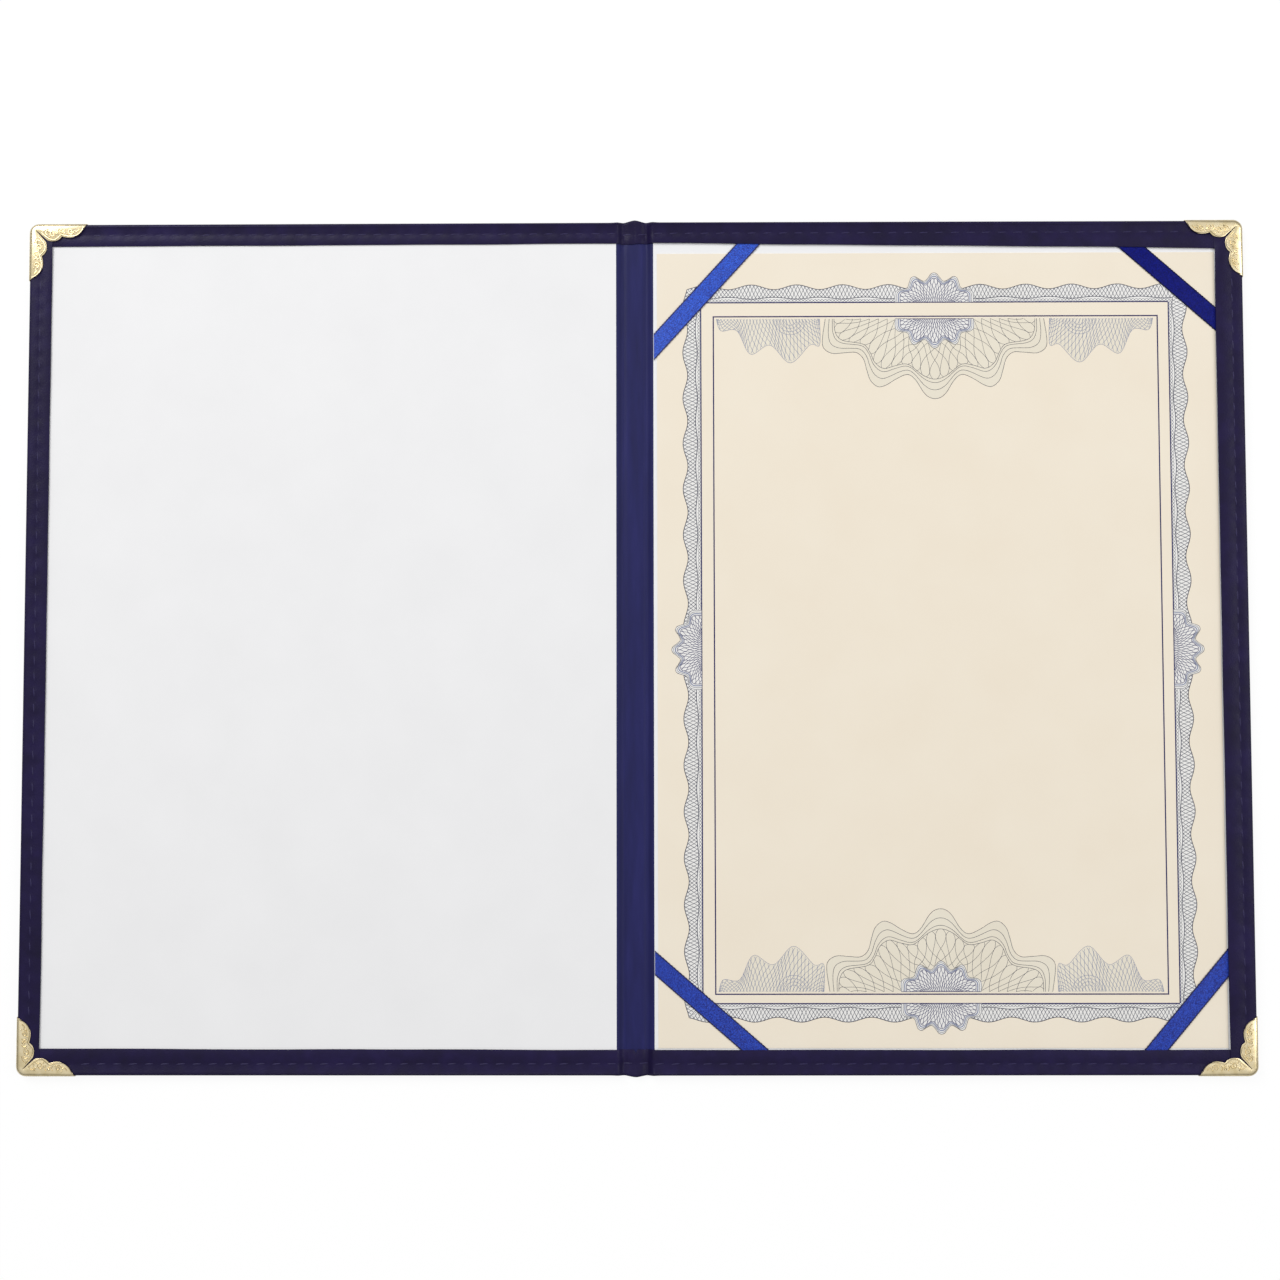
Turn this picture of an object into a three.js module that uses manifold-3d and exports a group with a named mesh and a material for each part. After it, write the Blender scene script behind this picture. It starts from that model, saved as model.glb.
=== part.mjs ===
// Cover for a certificate, open and lying flat with its inner side up.
// The right panel carries a certificate under four corner ribbons, the left one a plain liner.
// Both panels fold up about the long edges of a narrow spine.
// Millimetres. X runs across, Y up the page and Z up from the table.
// The origin is under the middle of the spine, at the height of the table.
import * as THREE from 'three';
import { mergeVertices } from 'three/addons/utils/BufferGeometryUtils.js';
import Module from 'manifold-3d';

const wasm = await Module();
wasm.setup();

// The page that the cover is made for, and its margins inside the right window
const PAGE_WIDTH = 210;
const PAGE_HEIGHT = 297;
const PAGE_SPINE_MARGIN = 1.4;
const PAGE_SIDE_MARGIN = 0.1;
const PAGE_TOP_MARGIN = 4.2;
const PAGE_BOTTOM_MARGIN = 0.6;

// Thickness of each sheet
const SKIN = 0.7;
const BOARD = 1.9;
const LINER = 0.25;
const CERTIFICATE = 0.15;
const PRINT = 0.03;
const RIBBON = 0.15;
const BRASS = 0.3;
const SPINE_BOARD = 0.8;
const LINING = 0.3;

// Folds and running room
const FOLD_RADIUS = 1.2;
const CORNER_RADIUS = 3.4;
const CLOSED_GAP = 1.0;
const SPINE_BOARD_FIT = 0.05;
const HINGE_GAP = 0.15;
const FOLD_CLEARANCE = 0.2;
const BOARD_FIT = 0.1;
const BRASS_FIT = 0.05;

// Widths of the turned-in bands, at the spine and at the outer corners
const RIGHT_BANDS = {
  topSpine: 7.8,
  topOuter: 10.5,
  sideTop: 10.5,
  sideBottom: 10.1,
  bottomOuter: 9.3,
  bottomSpine: 9.4,
};
const LEFT_BANDS = {
  topSpine: 8.0,
  topOuter: 8.5,
  sideTop: 8.6,
  sideBottom: 8.4,
  bottomOuter: 9.9,
  bottomSpine: 9.4,
};
const SPINE_BAND = 8.6;
const LINING_LAP = 0.3;

// Printed ornament, about a centre a little below the middle of the page
const PRINT_SHIFT_X = -0.5;
const PRINT_SHIFT_Y = -1.25;
const BORDER_SIDE_MARGIN = 17.1;
const BORDER_END_MARGIN = 17.65;
const BORDER_DEPTH = 6.9;
const BORDER_WAVE = 0.9;
const BORDER_PERIOD = 16.7;
// The frame line lies a little low and to the right inside the border
const FRAME_INSET = { left: 4.4, right: 3.9, top: 5.0, bottom: 3.1 };
const FRAME_LINE = 0.45;
const ORNAMENT_GAP = 0.6;

// Ribbons: distance from the window's corner to the ribbon's middle, along each band
const RIBBON_WIDTH = 7;
const RIBBON_TUCK = 5;
const RIBBONS = {
  ribbon_top_left: { side: -1, end: 1, along: 36.5, down: 40.0 },
  ribbon_top_right: { side: 1, end: 1, along: 30.5, down: 27.0 },
  ribbon_bottom_left: { side: -1, end: -1, along: 37.0, down: 32.0 },
  ribbon_bottom_right: { side: 1, end: -1, along: 27.0, down: 32.0 },
};

// Brass corner caps
const BRASS_LEG = 21.5;
const BRASS_OUTER_LOBE = { along: 15.6, deep: 5.3 };
const BRASS_NOTCH = { along: 12.3, deep: 4.75 };
const BRASS_INNER_LOBE = { along: 8.6, deep: 6.6 };
const BRASS_MITRE_END = 6.3;
const BRASS_MITRE_START = 2.6;
const BRASS_MITRE_SLOT = 0.5;
// Pull of the scallops' curves: at the tip of the leg, at the outer lobe, at the notch on both
// sides, and at the inner lobe on both sides
const BRASS_CURVE = {
  tipAlong: 1,
  tipDeep: 2.6,
  outer: 2.4,
  beforeNotch: 1.4,
  afterNotch: 0.8,
  notchDeep: 0.4,
  innerBefore: 1.6,
  innerAfter: 1.4,
};

// Levels of the right panel, from the table up
const skinBottom = BRASS;
const skinTop = skinBottom + SKIN;
const boardTop = skinTop + BOARD;
const linerTop = boardTop + LINER;
const pageTop = linerTop + CERTIFICATE;
const fieldTop = pageTop + PRINT;
const coreTop = fieldTop + PRINT;
const ribbonTop = coreTop + RIBBON;

// Hinge axes, placed so that the closed panels lie side by side
const panelThickness = ribbonTop + SKIN - skinBottom;
const hingeX = panelThickness + CLOSED_GAP / 2;
const spineStackTop = skinTop + SPINE_BOARD + LINING;
const spineHalf = hingeX - SKIN - LINING - FOLD_CLEARANCE;
const boardStart = hingeX + spineStackTop - skinBottom + FOLD_CLEARANCE + LINING;
const linerStart = boardStart + LINING_LAP;

// Outer size, from the page, its margins and the bands round it
const pageLeft = linerStart + PAGE_SPINE_MARGIN;
const halfWidth = pageLeft + PAGE_WIDTH + PAGE_SIDE_MARGIN + RIGHT_BANDS.sideTop;
const windowHeight = PAGE_HEIGHT + PAGE_TOP_MARGIN + PAGE_BOTTOM_MARGIN;
const halfHeight = (windowHeight + RIGHT_BANDS.topSpine + RIGHT_BANDS.bottomSpine) / 2;
const innerWidth = halfWidth - SKIN;
const innerHeight = halfHeight - SKIN;
const FAR = 4 * Math.max(halfHeight, halfWidth);

// Window of each panel, the opening between its bands
function windowOf(bands) {
  return {
    spineX: linerStart,
    spineTop: halfHeight - bands.topSpine,
    spineBottom: -halfHeight + bands.bottomSpine,
    outerTopX: halfWidth - bands.sideTop,
    outerBottomX: halfWidth - bands.sideBottom,
    outerTop: halfHeight - bands.topOuter,
    outerBottom: -halfHeight + bands.bottomOuter,
  };
}

const RIGHT = { side: 1, window: windowOf(RIGHT_BANDS), bandBottom: ribbonTop };
const LEFT = { side: -1, window: windowOf(LEFT_BANDS), bandBottom: linerTop };

const cover = new THREE.Group();

const COLOURS = {
  leather: { color: 0x241a44, roughness: 0.5, metalness: 0 },
  board: { color: 0x8c857a, roughness: 0.9, metalness: 0 },
  lining: { color: 0x24245a, roughness: 0.6, metalness: 0 },
  liner: { color: 0xf2f2f2, roughness: 0.85, metalness: 0 },
  certificate: { color: 0xeee4d2, roughness: 0.8, metalness: 0 },
  tint: { color: 0xd3d5dc, roughness: 0.8, metalness: 0 },
  ink: { color: 0x5a6090, roughness: 0.7, metalness: 0 },
  satin: { color: 0x1e3cb0, roughness: 0.4, metalness: 0 },
  brass: { color: 0xe6cf92, roughness: 0.3, metalness: 1 },
};

function add(name, geometry, look) {
  const mesh = new THREE.Mesh(geometry, new THREE.MeshStandardMaterial(COLOURS[look]));
  mesh.name = name;
  cover.add(mesh);
}

// A flat sheet between two levels. Both levels are written exactly, so that sheets can touch.
function sheet(points, bottom, top, holes = []) {
  const shape = new THREE.Shape(points);
  shape.holes = holes.map((hole) => new THREE.Path(hole));
  const geometry = new THREE.ExtrudeGeometry(shape, { depth: top - bottom, bevelEnabled: false });
  const position = geometry.getAttribute('position');
  for (let i = 0; i < position.count; i += 1) {
    position.setZ(i, position.getZ(i) > 0 ? top : bottom);
  }
  return geometry;
}

// A bar of constant section in X and Z, running along Y
function bar(section, halfLength) {
  const points = section.map(([x, z]) => new THREE.Vector2(x, z));
  const geometry = new THREE.ExtrudeGeometry(new THREE.Shape(points), {
    depth: 2 * halfLength,
    bevelEnabled: false,
  });
  geometry.translate(0, 0, -halfLength);
  geometry.rotateX(Math.PI / 2);
  return geometry;
}

function solidOf(geometry) {
  const bare = geometry.clone();
  bare.deleteAttribute('normal');
  bare.deleteAttribute('uv');
  const merged = mergeVertices(bare);
  return new wasm.Manifold(new wasm.Mesh({
    numProp: 3,
    vertProperties: Float32Array.from(merged.getAttribute('position').array),
    triVerts: Uint32Array.from(merged.getIndex().array),
  }));
}

function geometryOf(solid) {
  const mesh = solid.getMesh();
  const geometry = new THREE.BufferGeometry();
  geometry.setAttribute('position', new THREE.BufferAttribute(mesh.vertProperties, 3));
  geometry.setIndex(new THREE.BufferAttribute(mesh.triVerts, 1));
  return geometry;
}

function rectangle(left, right, bottom, top) {
  return [
    new THREE.Vector2(left, bottom),
    new THREE.Vector2(right, bottom),
    new THREE.Vector2(right, top),
    new THREE.Vector2(left, top),
  ];
}

// Outline of a panel from a start line near the spine to its rounded outer corners
function panelOutline(side, start, reach, halfTall, radius) {
  const path = new THREE.Path();
  path.moveTo(start, -halfTall);
  path.lineTo(reach - radius, -halfTall);
  path.absarc(reach - radius, -halfTall + radius, radius, -Math.PI / 2, 0);
  path.lineTo(reach, halfTall - radius);
  path.absarc(reach - radius, halfTall - radius, radius, 0, Math.PI / 2);
  path.lineTo(start, halfTall);
  return path.getPoints(6).map((point) => new THREE.Vector2(side * point.x, point.y));
}

// A panel-shaped block with rounded long edges, grown by a margin all round
function roundedBlock(side, start, margin, bottom, top) {
  const fold = Math.min(FOLD_RADIUS + margin, (top - bottom) / 2.5);
  const outline = panelOutline(
    side,
    start - fold,
    halfWidth + margin,
    halfHeight + margin,
    CORNER_RADIUS + margin,
  );
  const geometry = new THREE.ExtrudeGeometry(new THREE.Shape(outline), {
    depth: top - bottom - 2 * fold,
    bevelThickness: fold,
    bevelSize: fold,
    bevelOffset: -fold,
    bevelSegments: 3,
  });
  geometry.translate(0, 0, bottom + fold);
  return solidOf(geometry);
}

// The stepped edge beside the spine: a mitre through the skin, then an upright face
function spineCutter(side) {
  const mitreFoot = hingeX + HINGE_GAP;
  const below = 2 * SKIN;
  return solidOf(bar([
    [side * (mitreFoot - below), skinBottom - below],
    [side * (mitreFoot + SKIN), skinTop],
    [side * boardStart, skinTop],
    [side * boardStart, FAR],
    [-side * FAR, FAR],
    [-side * FAR, skinBottom - below],
  ], FAR));
}

function coverSkin({ side, window, bandBottom }) {
  const bandTop = bandBottom + SKIN;
  const pocket = panelOutline(side, 0, innerWidth, innerHeight, CORNER_RADIUS - SKIN);
  const opening = [
    new THREE.Vector2(0, window.spineBottom),
    new THREE.Vector2(side * window.spineX, window.spineBottom),
    new THREE.Vector2(side * window.outerBottomX, window.outerBottom),
    new THREE.Vector2(side * window.outerTopX, window.outerTop),
    new THREE.Vector2(side * window.spineX, window.spineTop),
    new THREE.Vector2(0, window.spineTop),
  ];
  return geometryOf(roundedBlock(side, 0, 0, skinBottom, bandTop)
    .subtract(solidOf(sheet(pocket, skinTop, bandBottom)))
    .subtract(solidOf(sheet(opening, boardTop, bandTop + SKIN)))
    .subtract(spineCutter(side)));
}

// Lining from the groove up over the edge of the board, to the edge of the liner
function liningStrip(side) {
  const mitreFoot = hingeX + HINGE_GAP;
  return bar([
    [side * (mitreFoot + SKIN), skinTop],
    [side * (mitreFoot + SKIN + LINING), skinTop + LINING],
    [side * (boardStart - LINING), skinTop + LINING],
    [side * (boardStart - LINING), linerTop],
    [side * linerStart, linerTop],
    [side * linerStart, boardTop],
    [side * boardStart, boardTop],
    [side * boardStart, skinTop],
  ], innerHeight - BOARD_FIT);
}

function addPanel(name, panel) {
  const { side } = panel;
  const reach = innerWidth - BOARD_FIT;
  const tall = innerHeight - BOARD_FIT;
  const radius = CORNER_RADIUS - SKIN;
  add(`${name}_cover_skin`, coverSkin(panel), 'leather');
  const boardEdge = panelOutline(side, boardStart, reach, tall, radius);
  add(`${name}_board`, sheet(boardEdge, skinTop, boardTop), 'board');
  add(`${name}_lining_strip`, liningStrip(side), 'lining');
  const linerEdge = panelOutline(side, linerStart, reach, tall, radius);
  add(`${name}_liner`, sheet(linerEdge, boardTop, linerTop), 'liner');
}

// The spine: skin with both ends turned in, a narrow board and the lining over it
function addSpine() {
  const mitreFoot = hingeX - HINGE_GAP;
  const boardHalf = spineHalf - LINING;
  const boardLength = halfHeight - SPINE_BAND - 2 * LINING;
  const endTop = skinTop + LINING + SKIN;
  const skinSection = bar([
    [-mitreFoot, skinBottom],
    [mitreFoot, skinBottom],
    [mitreFoot - SKIN, skinTop],
    [spineHalf, skinTop],
    [spineHalf, endTop],
    [-spineHalf, endTop],
    [-spineHalf, skinTop],
    [-mitreFoot + SKIN, skinTop],
  ], halfHeight);
  const wide = rectangle(-halfWidth, halfWidth, -innerHeight, innerHeight);
  const between = rectangle(-halfWidth, halfWidth, -halfHeight + SPINE_BAND, halfHeight - SPINE_BAND);
  const skin = solidOf(skinSection)
    .subtract(solidOf(sheet(wide, skinTop, skinTop + LINING)))
    .subtract(solidOf(sheet(between, skinTop, endTop + SKIN)));
  add('spine_skin', geometryOf(skin), 'leather');

  const board = rectangle(-boardHalf, boardHalf, -boardLength, boardLength);
  add('spine_board', sheet(board, skinTop, skinTop + SPINE_BOARD), 'board');

  const fit = SPINE_BOARD_FIT;
  const base = solidOf(bar([
    [-mitreFoot + SKIN, skinTop],
    [mitreFoot - SKIN, skinTop],
    [mitreFoot - SKIN - LINING, skinTop + LINING],
    [-mitreFoot + SKIN + LINING, skinTop + LINING],
  ], innerHeight - BOARD_FIT));
  const ridge = rectangle(-spineHalf, spineHalf, -boardLength - LINING, boardLength + LINING);
  const hollow = rectangle(-boardHalf - fit, boardHalf + fit, -boardLength - fit, boardLength + fit);
  const lining = base
    .add(solidOf(sheet(ridge, skinTop, spineStackTop)))
    .subtract(solidOf(sheet(hollow, skinBottom, skinTop + SPINE_BOARD)));
  add('spine_lining', geometryOf(lining), 'lining');
}

// Scalloped edge of a cap's inner face, seen from the corner: along each edge and in from it
function capFace() {
  const outer = BRASS_OUTER_LOBE;
  const notch = BRASS_NOTCH;
  const inner = BRASS_INNER_LOBE;
  const pull = BRASS_CURVE;
  const path = new THREE.Path();
  path.moveTo(BRASS_LEG, 0);
  path.bezierCurveTo(
    BRASS_LEG - pull.tipAlong,
    pull.tipDeep,
    outer.along + pull.outer,
    outer.deep,
    outer.along,
    outer.deep,
  );
  path.quadraticCurveTo(notch.along + pull.beforeNotch, outer.deep, notch.along, notch.deep);
  path.bezierCurveTo(
    notch.along - pull.afterNotch,
    inner.deep - pull.notchDeep,
    inner.along + pull.innerBefore,
    inner.deep,
    inner.along,
    inner.deep,
  );
  const mitreEnd = BRASS_MITRE_END + BRASS_MITRE_SLOT / 2;
  const mitreSide = mitreEnd - BRASS_MITRE_SLOT;
  path.quadraticCurveTo(inner.along - pull.innerAfter, inner.deep, mitreEnd, mitreSide);
  path.lineTo(BRASS_MITRE_START, BRASS_MITRE_START - BRASS_MITRE_SLOT / 4);
  const leg = path.getPoints(6);
  const otherLeg = leg.map((point) => new THREE.Vector2(point.y, point.x)).reverse();
  const past = CORNER_RADIUS;
  return [
    new THREE.Vector2(-past, -past),
    new THREE.Vector2(BRASS_LEG, -past),
    ...leg,
    ...otherLeg,
    new THREE.Vector2(-past, BRASS_LEG),
  ];
}

// The outer face is a plain triangle from leg end to leg end
function capBack() {
  const past = CORNER_RADIUS;
  return [
    new THREE.Vector2(-past, -past),
    new THREE.Vector2(BRASS_LEG, -past),
    new THREE.Vector2(BRASS_LEG, 0),
    new THREE.Vector2(0, BRASS_LEG),
    new THREE.Vector2(-past, BRASS_LEG),
  ];
}

function brassCap({ side, bandBottom }, end) {
  const place = (point) => new THREE.Vector2(side * (halfWidth - point.x), end * (halfHeight - point.y));
  const bandTop = bandBottom + SKIN;
  const middle = (skinTop + boardTop) / 2;
  const faceTop = bandTop + BRASS_FIT + BRASS;
  const region = solidOf(sheet(capFace().map(place), middle, faceTop + BRASS))
    .add(solidOf(sheet(capBack().map(place), -BRASS, middle)));
  const start = halfWidth - 2 * BRASS_LEG;
  const outside = roundedBlock(side, start, BRASS_FIT + BRASS, 0, faceTop);
  const inside = roundedBlock(side, start - BRASS_LEG, BRASS_FIT, skinBottom, bandTop + BRASS_FIT);
  return geometryOf(outside.intersect(region).subtract(inside));
}

// Point on the window's top or bottom edge above or below a given X
function windowEdgeY(window, end, x) {
  const spineY = end > 0 ? window.spineTop : window.spineBottom;
  const outerY = end > 0 ? window.outerTop : window.outerBottom;
  const outerX = end > 0 ? window.outerTopX : window.outerBottomX;
  return spineY + (outerY - spineY) * (x - window.spineX) / (outerX - window.spineX);
}

// A ribbon across one corner of the window. Its ends are tucked under the bands,
// and beside the spine it ends at the edge of the liner.
function ribbon({ side, end, along, down }) {
  const { window } = RIGHT;
  const cornerX = side < 0 ? window.spineX : (end > 0 ? window.outerTopX : window.outerBottomX);
  const cornerY = windowEdgeY(window, end, cornerX);
  const flat = new THREE.Vector2(cornerX - side * along, cornerY);
  const upright = new THREE.Vector2(cornerX, cornerY - end * down);
  const run = upright.clone().sub(flat).normalize();
  const across = new THREE.Vector2(-run.y, run.x).multiplyScalar(RIBBON_WIDTH / 2);
  const tuckY = cornerY + end * RIBBON_TUCK;
  const tuckX = side < 0 ? window.spineX : cornerX + RIBBON_TUCK;
  const atY = (from) => from.clone().addScaledVector(run, (tuckY - from.y) / run.y);
  const atX = (from) => from.clone().addScaledVector(run, (tuckX - from.x) / run.x);
  const one = flat.clone().add(across);
  const other = flat.clone().sub(across);
  return sheet([atY(one), atX(one), atX(other), atY(other)], coreTop, ribbonTop);
}

const pageBottom = RIGHT.window.spineBottom + PAGE_BOTTOM_MARGIN;
const printX = pageLeft + PAGE_WIDTH / 2 + PRINT_SHIFT_X;
const printY = pageBottom + PAGE_HEIGHT / 2 + PRINT_SHIFT_Y;
const borderHalfWidth = PAGE_WIDTH / 2 - BORDER_SIDE_MARGIN;
const borderHalfHeight = PAGE_HEIGHT / 2 - BORDER_END_MARGIN;
const frame = {
  left: -borderHalfWidth + FRAME_INSET.left,
  right: borderHalfWidth - FRAME_INSET.right,
  top: borderHalfHeight - FRAME_INSET.top,
  bottom: -borderHalfHeight + FRAME_INSET.bottom,
};
const frameHalfWidth = Math.min(-frame.left, frame.right);

// One wavy side of the border, from one corner to the next, with its crests outwards
function wavySide(halfLength, depth) {
  const waves = Math.max(1, Math.round((2 * halfLength) / BORDER_PERIOD));
  const steps = waves * 8;
  const points = [];
  for (let i = 0; i < steps; i += 1) {
    const along = -halfLength + (2 * halfLength * i) / steps;
    const crest = (1 - Math.cos((2 * Math.PI * waves * i) / steps)) / 2;
    points.push([along, depth - 2 * BORDER_WAVE * (1 - crest)]);
  }
  return points;
}

function borderOutline() {
  const halfX = borderHalfWidth + BORDER_DEPTH;
  const halfY = borderHalfHeight + BORDER_DEPTH;
  const bottom = wavySide(halfX, halfY).map(([a, d]) => new THREE.Vector2(a, -d));
  const right = wavySide(halfY, halfX).map(([a, d]) => new THREE.Vector2(d, a));
  const top = wavySide(halfX, halfY).map(([a, d]) => new THREE.Vector2(-a, d));
  const left = wavySide(halfY, halfX).map(([a, d]) => new THREE.Vector2(-d, -a));
  return [bottom, right, top, left].flatMap((run) => run.slice(1));
}

function onPage(points) {
  return points.map((point) => new THREE.Vector2(printX + point.x, printY + point.y));
}

// Half outlines of the ornaments: across from the middle, and out from the base line
const LARGE_ROSETTE = [
  [0, 30.5],
  [4, 28],
  [10, 21.2],
  [15, 23.5],
  [21.2, 26.1],
  [25, 22],
  [26.6, 15.6],
  [29.2, 12.7],
  [38.5, 13.2],
  [42.2, 8.9],
  [41.1, 0],
];
const SMALL_ROSETTE = [
  [0, 11.3],
  [2, 9.8],
  [3.7, 8],
  [5.6, 8.8],
  [7.8, 9.9],
  [9.2, 8],
  [9.8, 5.6],
  [11.5, 5.1],
  [14, 4.6],
  [14.9, 3],
  [14.7, 0],
];
const FLOURISH = [
  [0, 0],
  [0, 10],
  [3.8, 10],
  [11.3, 16.8],
  [18.8, 10],
  [26.3, 13.4],
  [31.3, 4.5],
  [37.3, 4.5],
  [39.2, 0],
];

// A rosette and a flourish fill half the frame's width, and widen with it
const widest = (points) => Math.max(...points.map(([x]) => x));
const drawnSpan = widest(LARGE_ROSETTE) + widest(FLOURISH) + 2 * ORNAMENT_GAP;
const spread = (frameHalfWidth - FRAME_LINE) / drawnSpan;
const flourishStart = spread * (widest(LARGE_ROSETTE) + ORNAMENT_GAP);

function curved(points) {
  const curve = new THREE.SplineCurve(points.map(([x, y]) => new THREE.Vector2(spread * x, y)));
  return curve.getPoints(4 * points.length);
}

function mirrored(points) {
  const other = points.slice(1).map(([x, y]) => [-x, y]);
  return curved([...other.reverse(), ...points]);
}

function addBorder() {
  const halfX = borderHalfWidth;
  const halfY = borderHalfHeight;
  const inner = rectangle(-halfX, halfX, -halfY, halfY);
  add('print_border', sheet(onPage(borderOutline()), pageTop, fieldTop, [onPage(inner)]), 'tint');

  const line = rectangle(frame.left, frame.right, frame.bottom, frame.top);
  const hole = rectangle(
    frame.left + FRAME_LINE,
    frame.right - FRAME_LINE,
    frame.bottom + FRAME_LINE,
    frame.top - FRAME_LINE,
  );
  add('print_frame_line', sheet(onPage(line), pageTop, fieldTop, [onPage(hole)]), 'ink');
}

// Ornaments in the middle of the top or bottom edge, with a flourish on either side
function addEndOrnaments(word, end) {
  const base = Math.abs(frame[word]) - FRAME_LINE - ORNAMENT_GAP;
  const inwards = (point) => new THREE.Vector2(point.x, end * (base - point.y));
  const rosette = mirrored(LARGE_ROSETTE).map(inwards);
  add(`print_rosette_${word}`, sheet(onPage(rosette), pageTop, fieldTop), 'tint');

  const core = mirrored(SMALL_ROSETTE);
  const outer = core.map((point) => new THREE.Vector2(point.x, end * (borderHalfHeight + point.y)));
  add(`print_core_${word}_outer`, sheet(onPage(outer), fieldTop, coreTop), 'ink');
  add(`print_core_${word}_inner`, sheet(onPage(core.map(inwards)), fieldTop, coreTop), 'ink');

  for (const [sideWord, side] of [['right', 1], ['left', -1]]) {
    const aside = (p) => new THREE.Vector2(side * (flourishStart + p.x), end * (base - p.y));
    const flourish = curved(FLOURISH).map(aside);
    add(`print_flourish_${word}_${sideWord}`, sheet(onPage(flourish), pageTop, fieldTop), 'tint');
  }
}

function addSideOrnament(word, side) {
  const outwards = (p) => new THREE.Vector2(side * (borderHalfWidth + p.y), p.x);
  const rosette = mirrored(SMALL_ROSETTE).map(outwards);
  add(`print_rosette_${word}`, sheet(onPage(rosette), fieldTop, coreTop), 'tint');
}

addPanel('right', RIGHT);
addSpine();
addPanel('left', LEFT);
const page = rectangle(pageLeft, pageLeft + PAGE_WIDTH, pageBottom, pageBottom + PAGE_HEIGHT);
add('certificate', sheet(page, linerTop, pageTop), 'certificate');
addBorder();
addEndOrnaments('top', 1);
addEndOrnaments('bottom', -1);
addSideOrnament('right', 1);
addSideOrnament('left', -1);
for (const [name, place] of Object.entries(RIBBONS)) {
  add(name, ribbon(place), 'satin');
}
for (const end of [1, -1]) {
  const word = end > 0 ? 'top' : 'bottom';
  add(`brass_corner_${word}_right`, brassCap(RIGHT, end), 'brass');
  add(`brass_corner_${word}_left`, brassCap(LEFT, end), 'brass');
}

export default cover;
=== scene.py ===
# %% [markdown]
# # A cover for a certificate
# The cover lies open, inner side up. Two stiff panels in navy leather-look sheet are joined by a
# narrow spine. The right panel holds a cream certificate under four satin ribbons, and pressed
# brass caps protect the outer corners. The solid model is loaded first as a fixed frame: every
# size below is read from it or is named where it is first needed. Lengths are in metres.

# %% Load the frame
import math
import random

import bmesh
import bpy
from mathutils import Matrix, Vector, noise


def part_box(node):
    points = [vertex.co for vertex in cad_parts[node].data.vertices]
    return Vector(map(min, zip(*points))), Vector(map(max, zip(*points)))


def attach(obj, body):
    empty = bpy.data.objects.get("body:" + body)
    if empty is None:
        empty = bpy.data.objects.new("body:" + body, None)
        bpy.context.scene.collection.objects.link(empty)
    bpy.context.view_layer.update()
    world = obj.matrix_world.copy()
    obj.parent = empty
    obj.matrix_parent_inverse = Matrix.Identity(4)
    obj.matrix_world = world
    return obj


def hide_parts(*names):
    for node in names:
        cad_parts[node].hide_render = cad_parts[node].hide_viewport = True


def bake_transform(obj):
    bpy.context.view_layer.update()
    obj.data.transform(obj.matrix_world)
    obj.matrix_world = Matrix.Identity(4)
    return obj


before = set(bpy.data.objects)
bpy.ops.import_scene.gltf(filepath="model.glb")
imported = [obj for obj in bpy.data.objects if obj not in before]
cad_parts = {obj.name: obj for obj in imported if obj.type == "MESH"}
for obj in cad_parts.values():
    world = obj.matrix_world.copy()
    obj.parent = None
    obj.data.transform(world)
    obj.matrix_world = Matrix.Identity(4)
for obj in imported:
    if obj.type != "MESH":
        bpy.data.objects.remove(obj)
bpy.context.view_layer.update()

MM = 0.001
TINY = 1e-6
random.seed(11)

# %% [markdown]
# ## Sizes from the frame
# The boxes of a few nodes give all the levels of the stack, from the outer leather at the table
# up to the bands, and the place of the window. 1 stands for the right side and -1 for the left.

# %% Read the sizes
skin_low, skin_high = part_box("right_cover_skin")
HALF_WIDTH = skin_high.x
HALF_HEIGHT = skin_high.y
SKIN_BOTTOM = skin_low.z
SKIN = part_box("right_board")[0].z - SKIN_BOTTOM
BAND_TOP = {1: skin_high.z, -1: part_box("left_cover_skin")[1].z}
LINER_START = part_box("right_liner")[0].x
LINER_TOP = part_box("right_liner")[1].z
SPINE_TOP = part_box("spine_lining")[1].z
FIELD_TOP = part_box("print_border")[1].z
CORE_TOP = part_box("print_rosette_left")[1].z
PANEL = {1: "right_cover", -1: "left_cover"}
WORD = {1: "right", -1: "left"}

print("half width", round(HALF_WIDTH, 4), "half height", round(HALF_HEIGHT, 4))

# %% [markdown]
# ## Small helpers
# An operator works on everything that is selected, so each helper starts by clearing the
# selection. `choose` picks vertices, edges or faces in edit mode by a test on each one, which is
# what a modeller does by eye with a box select.

# %% Helpers for modelling
def clear_selection():
    bpy.ops.object.select_all(action="DESELECT")


def focus(piece):
    clear_selection()
    piece.select_set(True)
    bpy.context.view_layer.objects.active = piece


def named(piece, name):
    piece.name = name
    piece.data.name = name
    return piece


def tell(piece):
    print(piece.name, len(piece.data.polygons), "faces")


def place_in_mesh(piece):
    """Moves the object's place, turn and scale into its mesh."""
    focus(piece)
    bpy.ops.object.transform_apply(location=True, rotation=True, scale=True)


def choose(piece, kind, test):
    """Selects the vertices, edges or faces that pass a test, in edit mode."""
    bpy.ops.mesh.select_all(action="DESELECT")
    modes = ("verts", "edges", "faces")
    bpy.context.tool_settings.mesh_select_mode = tuple(mode == kind for mode in modes)
    mesh = bmesh.from_edit_mesh(piece.data)
    chosen = [item for item in getattr(mesh, kind) if test(item)]
    for item in chosen:
        item.select_set(True)
    bmesh.update_edit_mesh(piece.data)


def modifier(piece, kind, **settings):
    """Adds a modifier, sets it and applies it."""
    focus(piece)
    made = piece.modifiers.new(kind.lower(), kind)
    for key, value in settings.items():
        setattr(made, key, value)
    bpy.ops.object.modifier_apply(modifier=made.name)


def smooth(piece, angle):
    focus(piece)
    bpy.ops.object.shade_smooth_by_angle(angle=math.radians(angle))


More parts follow.
